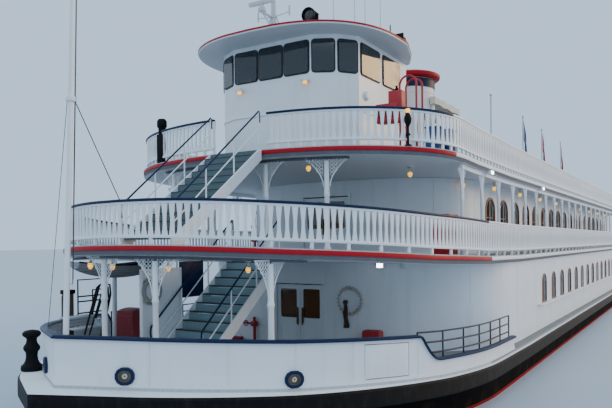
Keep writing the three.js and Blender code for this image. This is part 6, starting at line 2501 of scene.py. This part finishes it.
# %% Stern beams
BEAM_Y = 5.3
BEARING_GAP = 0.006
bore = moved(cylinder(SHAFT_RADIUS + BEARING_GAP, -0.5, 0.5, 48), LAID_ACROSS)
for where, side in SIDES.items():
    y0, y1 = about(side * BEAM_Y, 0.2)
    beam = block((54.75, 64.15), (y0, y1), (3.004, 3.55), soft=0.03)
    bearing = block((60.15, 61.05), (y0, y1), (3.45, 4.27), soft=0.04)
    hole = bore.copy()
    hole.data = bore.data.copy()
    bpy.context.scene.collection.objects.link(hole)
    beam = cut(joined([beam, bearing]), [moved(hole, standing(WHEEL_U, side * BEAM_Y, WHEEL_Z))])
    piece(
        f"stern_beam_{where}_timber", [beam], white_timber, replaces=[f"stern_beam_{where}"],
    )
    straps = [
        block(about(u, 0.05), (y0 - 0.012, y1 + 0.012), (3.2, 3.56), soft=0.01)
        for u in (56.4, 58.4, 62.4)
    ]
    straps += [block(about(u, 0.06), about(side * BEAM_Y, 0.06), (4.26, 4.31)) for u in (60.3, 60.9)]
    cup = moved(solid([(0.05, 0), (0.05, 0.12), (0.03, 0.16)], 12), standing(WHEEL_U, side * BEAM_Y, 4.265))
    piece(f"stern_beam_{where}_irons", [*straps, cup], black)
bpy.data.objects.remove(bore)
print("stern beams:", len(made), "pieces so far")

# %% [markdown]
# The two rudders hang under the stern, ahead of the wheel. Each is a plate with two bands on a
# round stock that reaches up to the raked bottom of the hull.

# %% Rudders
RUDDER_U, RUDDER_Y = 54.0, 2.4
keel_aft, (rake_z, *_, rake_aft) = HULL_LEVELS[0][-1], HULL_LEVELS[1]
stock_top = rake_z * (RUDDER_U - 0.1 - keel_aft) / (rake_aft - keel_aft) - 0.004
for where, side in SIDES.items():
    y = side * RUDDER_Y
    blade = block((RUDDER_U - 0.55, RUDDER_U + 1.45), about(y, 0.05), (0.12, 0.98), soft=0.03)
    bands = [block((RUDDER_U - 0.5, RUDDER_U + 1.2), about(y, 0.07), about(z, 0.04)) for z in (0.34, 0.78)]
    stock = upright(RUDDER_U, y, 0.2, stock_top, 0.1, sides=24)
    piece(f"rudder_{where}_blade", [blade, *bands, stock], hull_black, body=f"rudder_{where}",
          replaces=[f"rudder_{where}"])
print("rudders:", len(made), "pieces so far")

# %% [markdown]
# The engine stands amidships near the stern, out of sight of the camera. It keeps the plain
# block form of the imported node, with inspection covers, ribs and six cylinder heads let in.

# %% Engine
ENGINE_FOOT, ENGINE_TOP = MAIN_Z + 0.004, MAIN_Z + 1.7
casing = block((47.04, 50.96), (-1.56, 1.56), (ENGINE_FOOT, ENGINE_TOP - 0.03), soft=0.05)
ribs = [
    block((u, u + 0.1), (-1.6, 1.6), (ENGINE_FOOT, ENGINE_TOP), soft=0.02)
    for u in (47.0, 48.27, 49.63, 50.9)
]
covers = [block((u, u + 0.8), (side * 1.56, side * 1.59), (3.5, 4.3), soft=0.012)
          for u in (47.3, 48.6, 49.95) for side in (-1, 1)]
piece("engine_casing", [casing, *ribs, *covers], steel, replaces=["engine_block"])
heads = [moved(solid([(0.36, 0), (0.36, 0.02), (0.3, 0.027)], 32), standing(u, y, ENGINE_TOP - 0.03))
         for u in (47.8, 49.0, 50.3) for y in (-0.75, 0.75)]
piece("engine_heads", heads, brass)
print("engine:", len(made), "pieces so far")

# %% [markdown]
# The photograph was taken from the quay, ahead of the port bow and not quite five real metres
# above the water. The lens and the horizon were worked out from the two curved railings. The
# floor lies at the waterline, and broad soft lights stand in for an even evening sky.

# %% Camera, floor and lights
QUAY_FLOOR = 600
CAMERA_AT = (-8.7, 11.49, 6.54)
CAMERA_LOOKS = Vector((-0.8512, -0.5249, 0.0))
CAMERA_ROLL = -0.010
LENS = 37.74
HORIZON_SHIFT = 0.0634
camera_data = bpy.data.cameras.new("quay_camera")
camera = bpy.data.objects.new("quay_camera", camera_data)
bpy.context.scene.collection.objects.link(camera)
camera_data.sensor_width = 36.0
camera_data.lens = LENS
camera_data.shift_y = HORIZON_SHIFT
camera_data.clip_end = 500.0
camera.location = at(*CAMERA_AT)
camera.rotation_mode = "QUATERNION"
camera.rotation_quaternion = CAMERA_LOOKS.to_track_quat("-Z", "Y") @ Matrix.Rotation(
    CAMERA_ROLL, 3, "Z"
).to_quaternion()
bpy.context.scene.camera = camera

clear()
bpy.ops.mesh.primitive_plane_add(size=QUAY_FLOOR, location=(0, 0, WATERLINE * SCALE))
floor = bpy.context.object
floor.name = "floor"
floor_finish = Finish("floor_paint", (0.46, 0.53, 0.60), 0.8)
floor.data.materials.append(floor_finish.material)


def soft_sun(name, comes_from, power, colour, spread=60):
    """An even, very soft light from one side."""
    data = bpy.data.lights.new(name, "SUN")
    data.energy, data.color, data.angle = power, colour, math.radians(spread)
    light = bpy.data.objects.new(name, data)
    light.rotation_euler = Vector(comes_from).to_track_quat("Z", "Y").to_euler()
    bpy.context.scene.collection.objects.link(light)


soft_sun("sky_light", (0.8, 0.5, 1.0), 0.55, (0.84, 0.92, 1.0))
soft_sun("side_light", (0.2, -1.0, 0.5), 0.3, (0.86, 0.93, 1.0))
soft_sun("evening_light", (-1.0, 0.8, 0.35), 1.6, (1.0, 0.64, 0.28), 30)
world = bpy.data.worlds.new("evening_sky")
bpy.context.scene.world = world
world.use_nodes = True
world.node_tree.nodes["Background"].inputs["Color"].default_value = (0.60, 0.79, 1.0, 1)
world.node_tree.nodes["Background"].inputs["Strength"].default_value = 1.1
print("camera at", [round(value, 3) for value in camera.location])

# %% Pieces made
print("pieces made:", len(made))
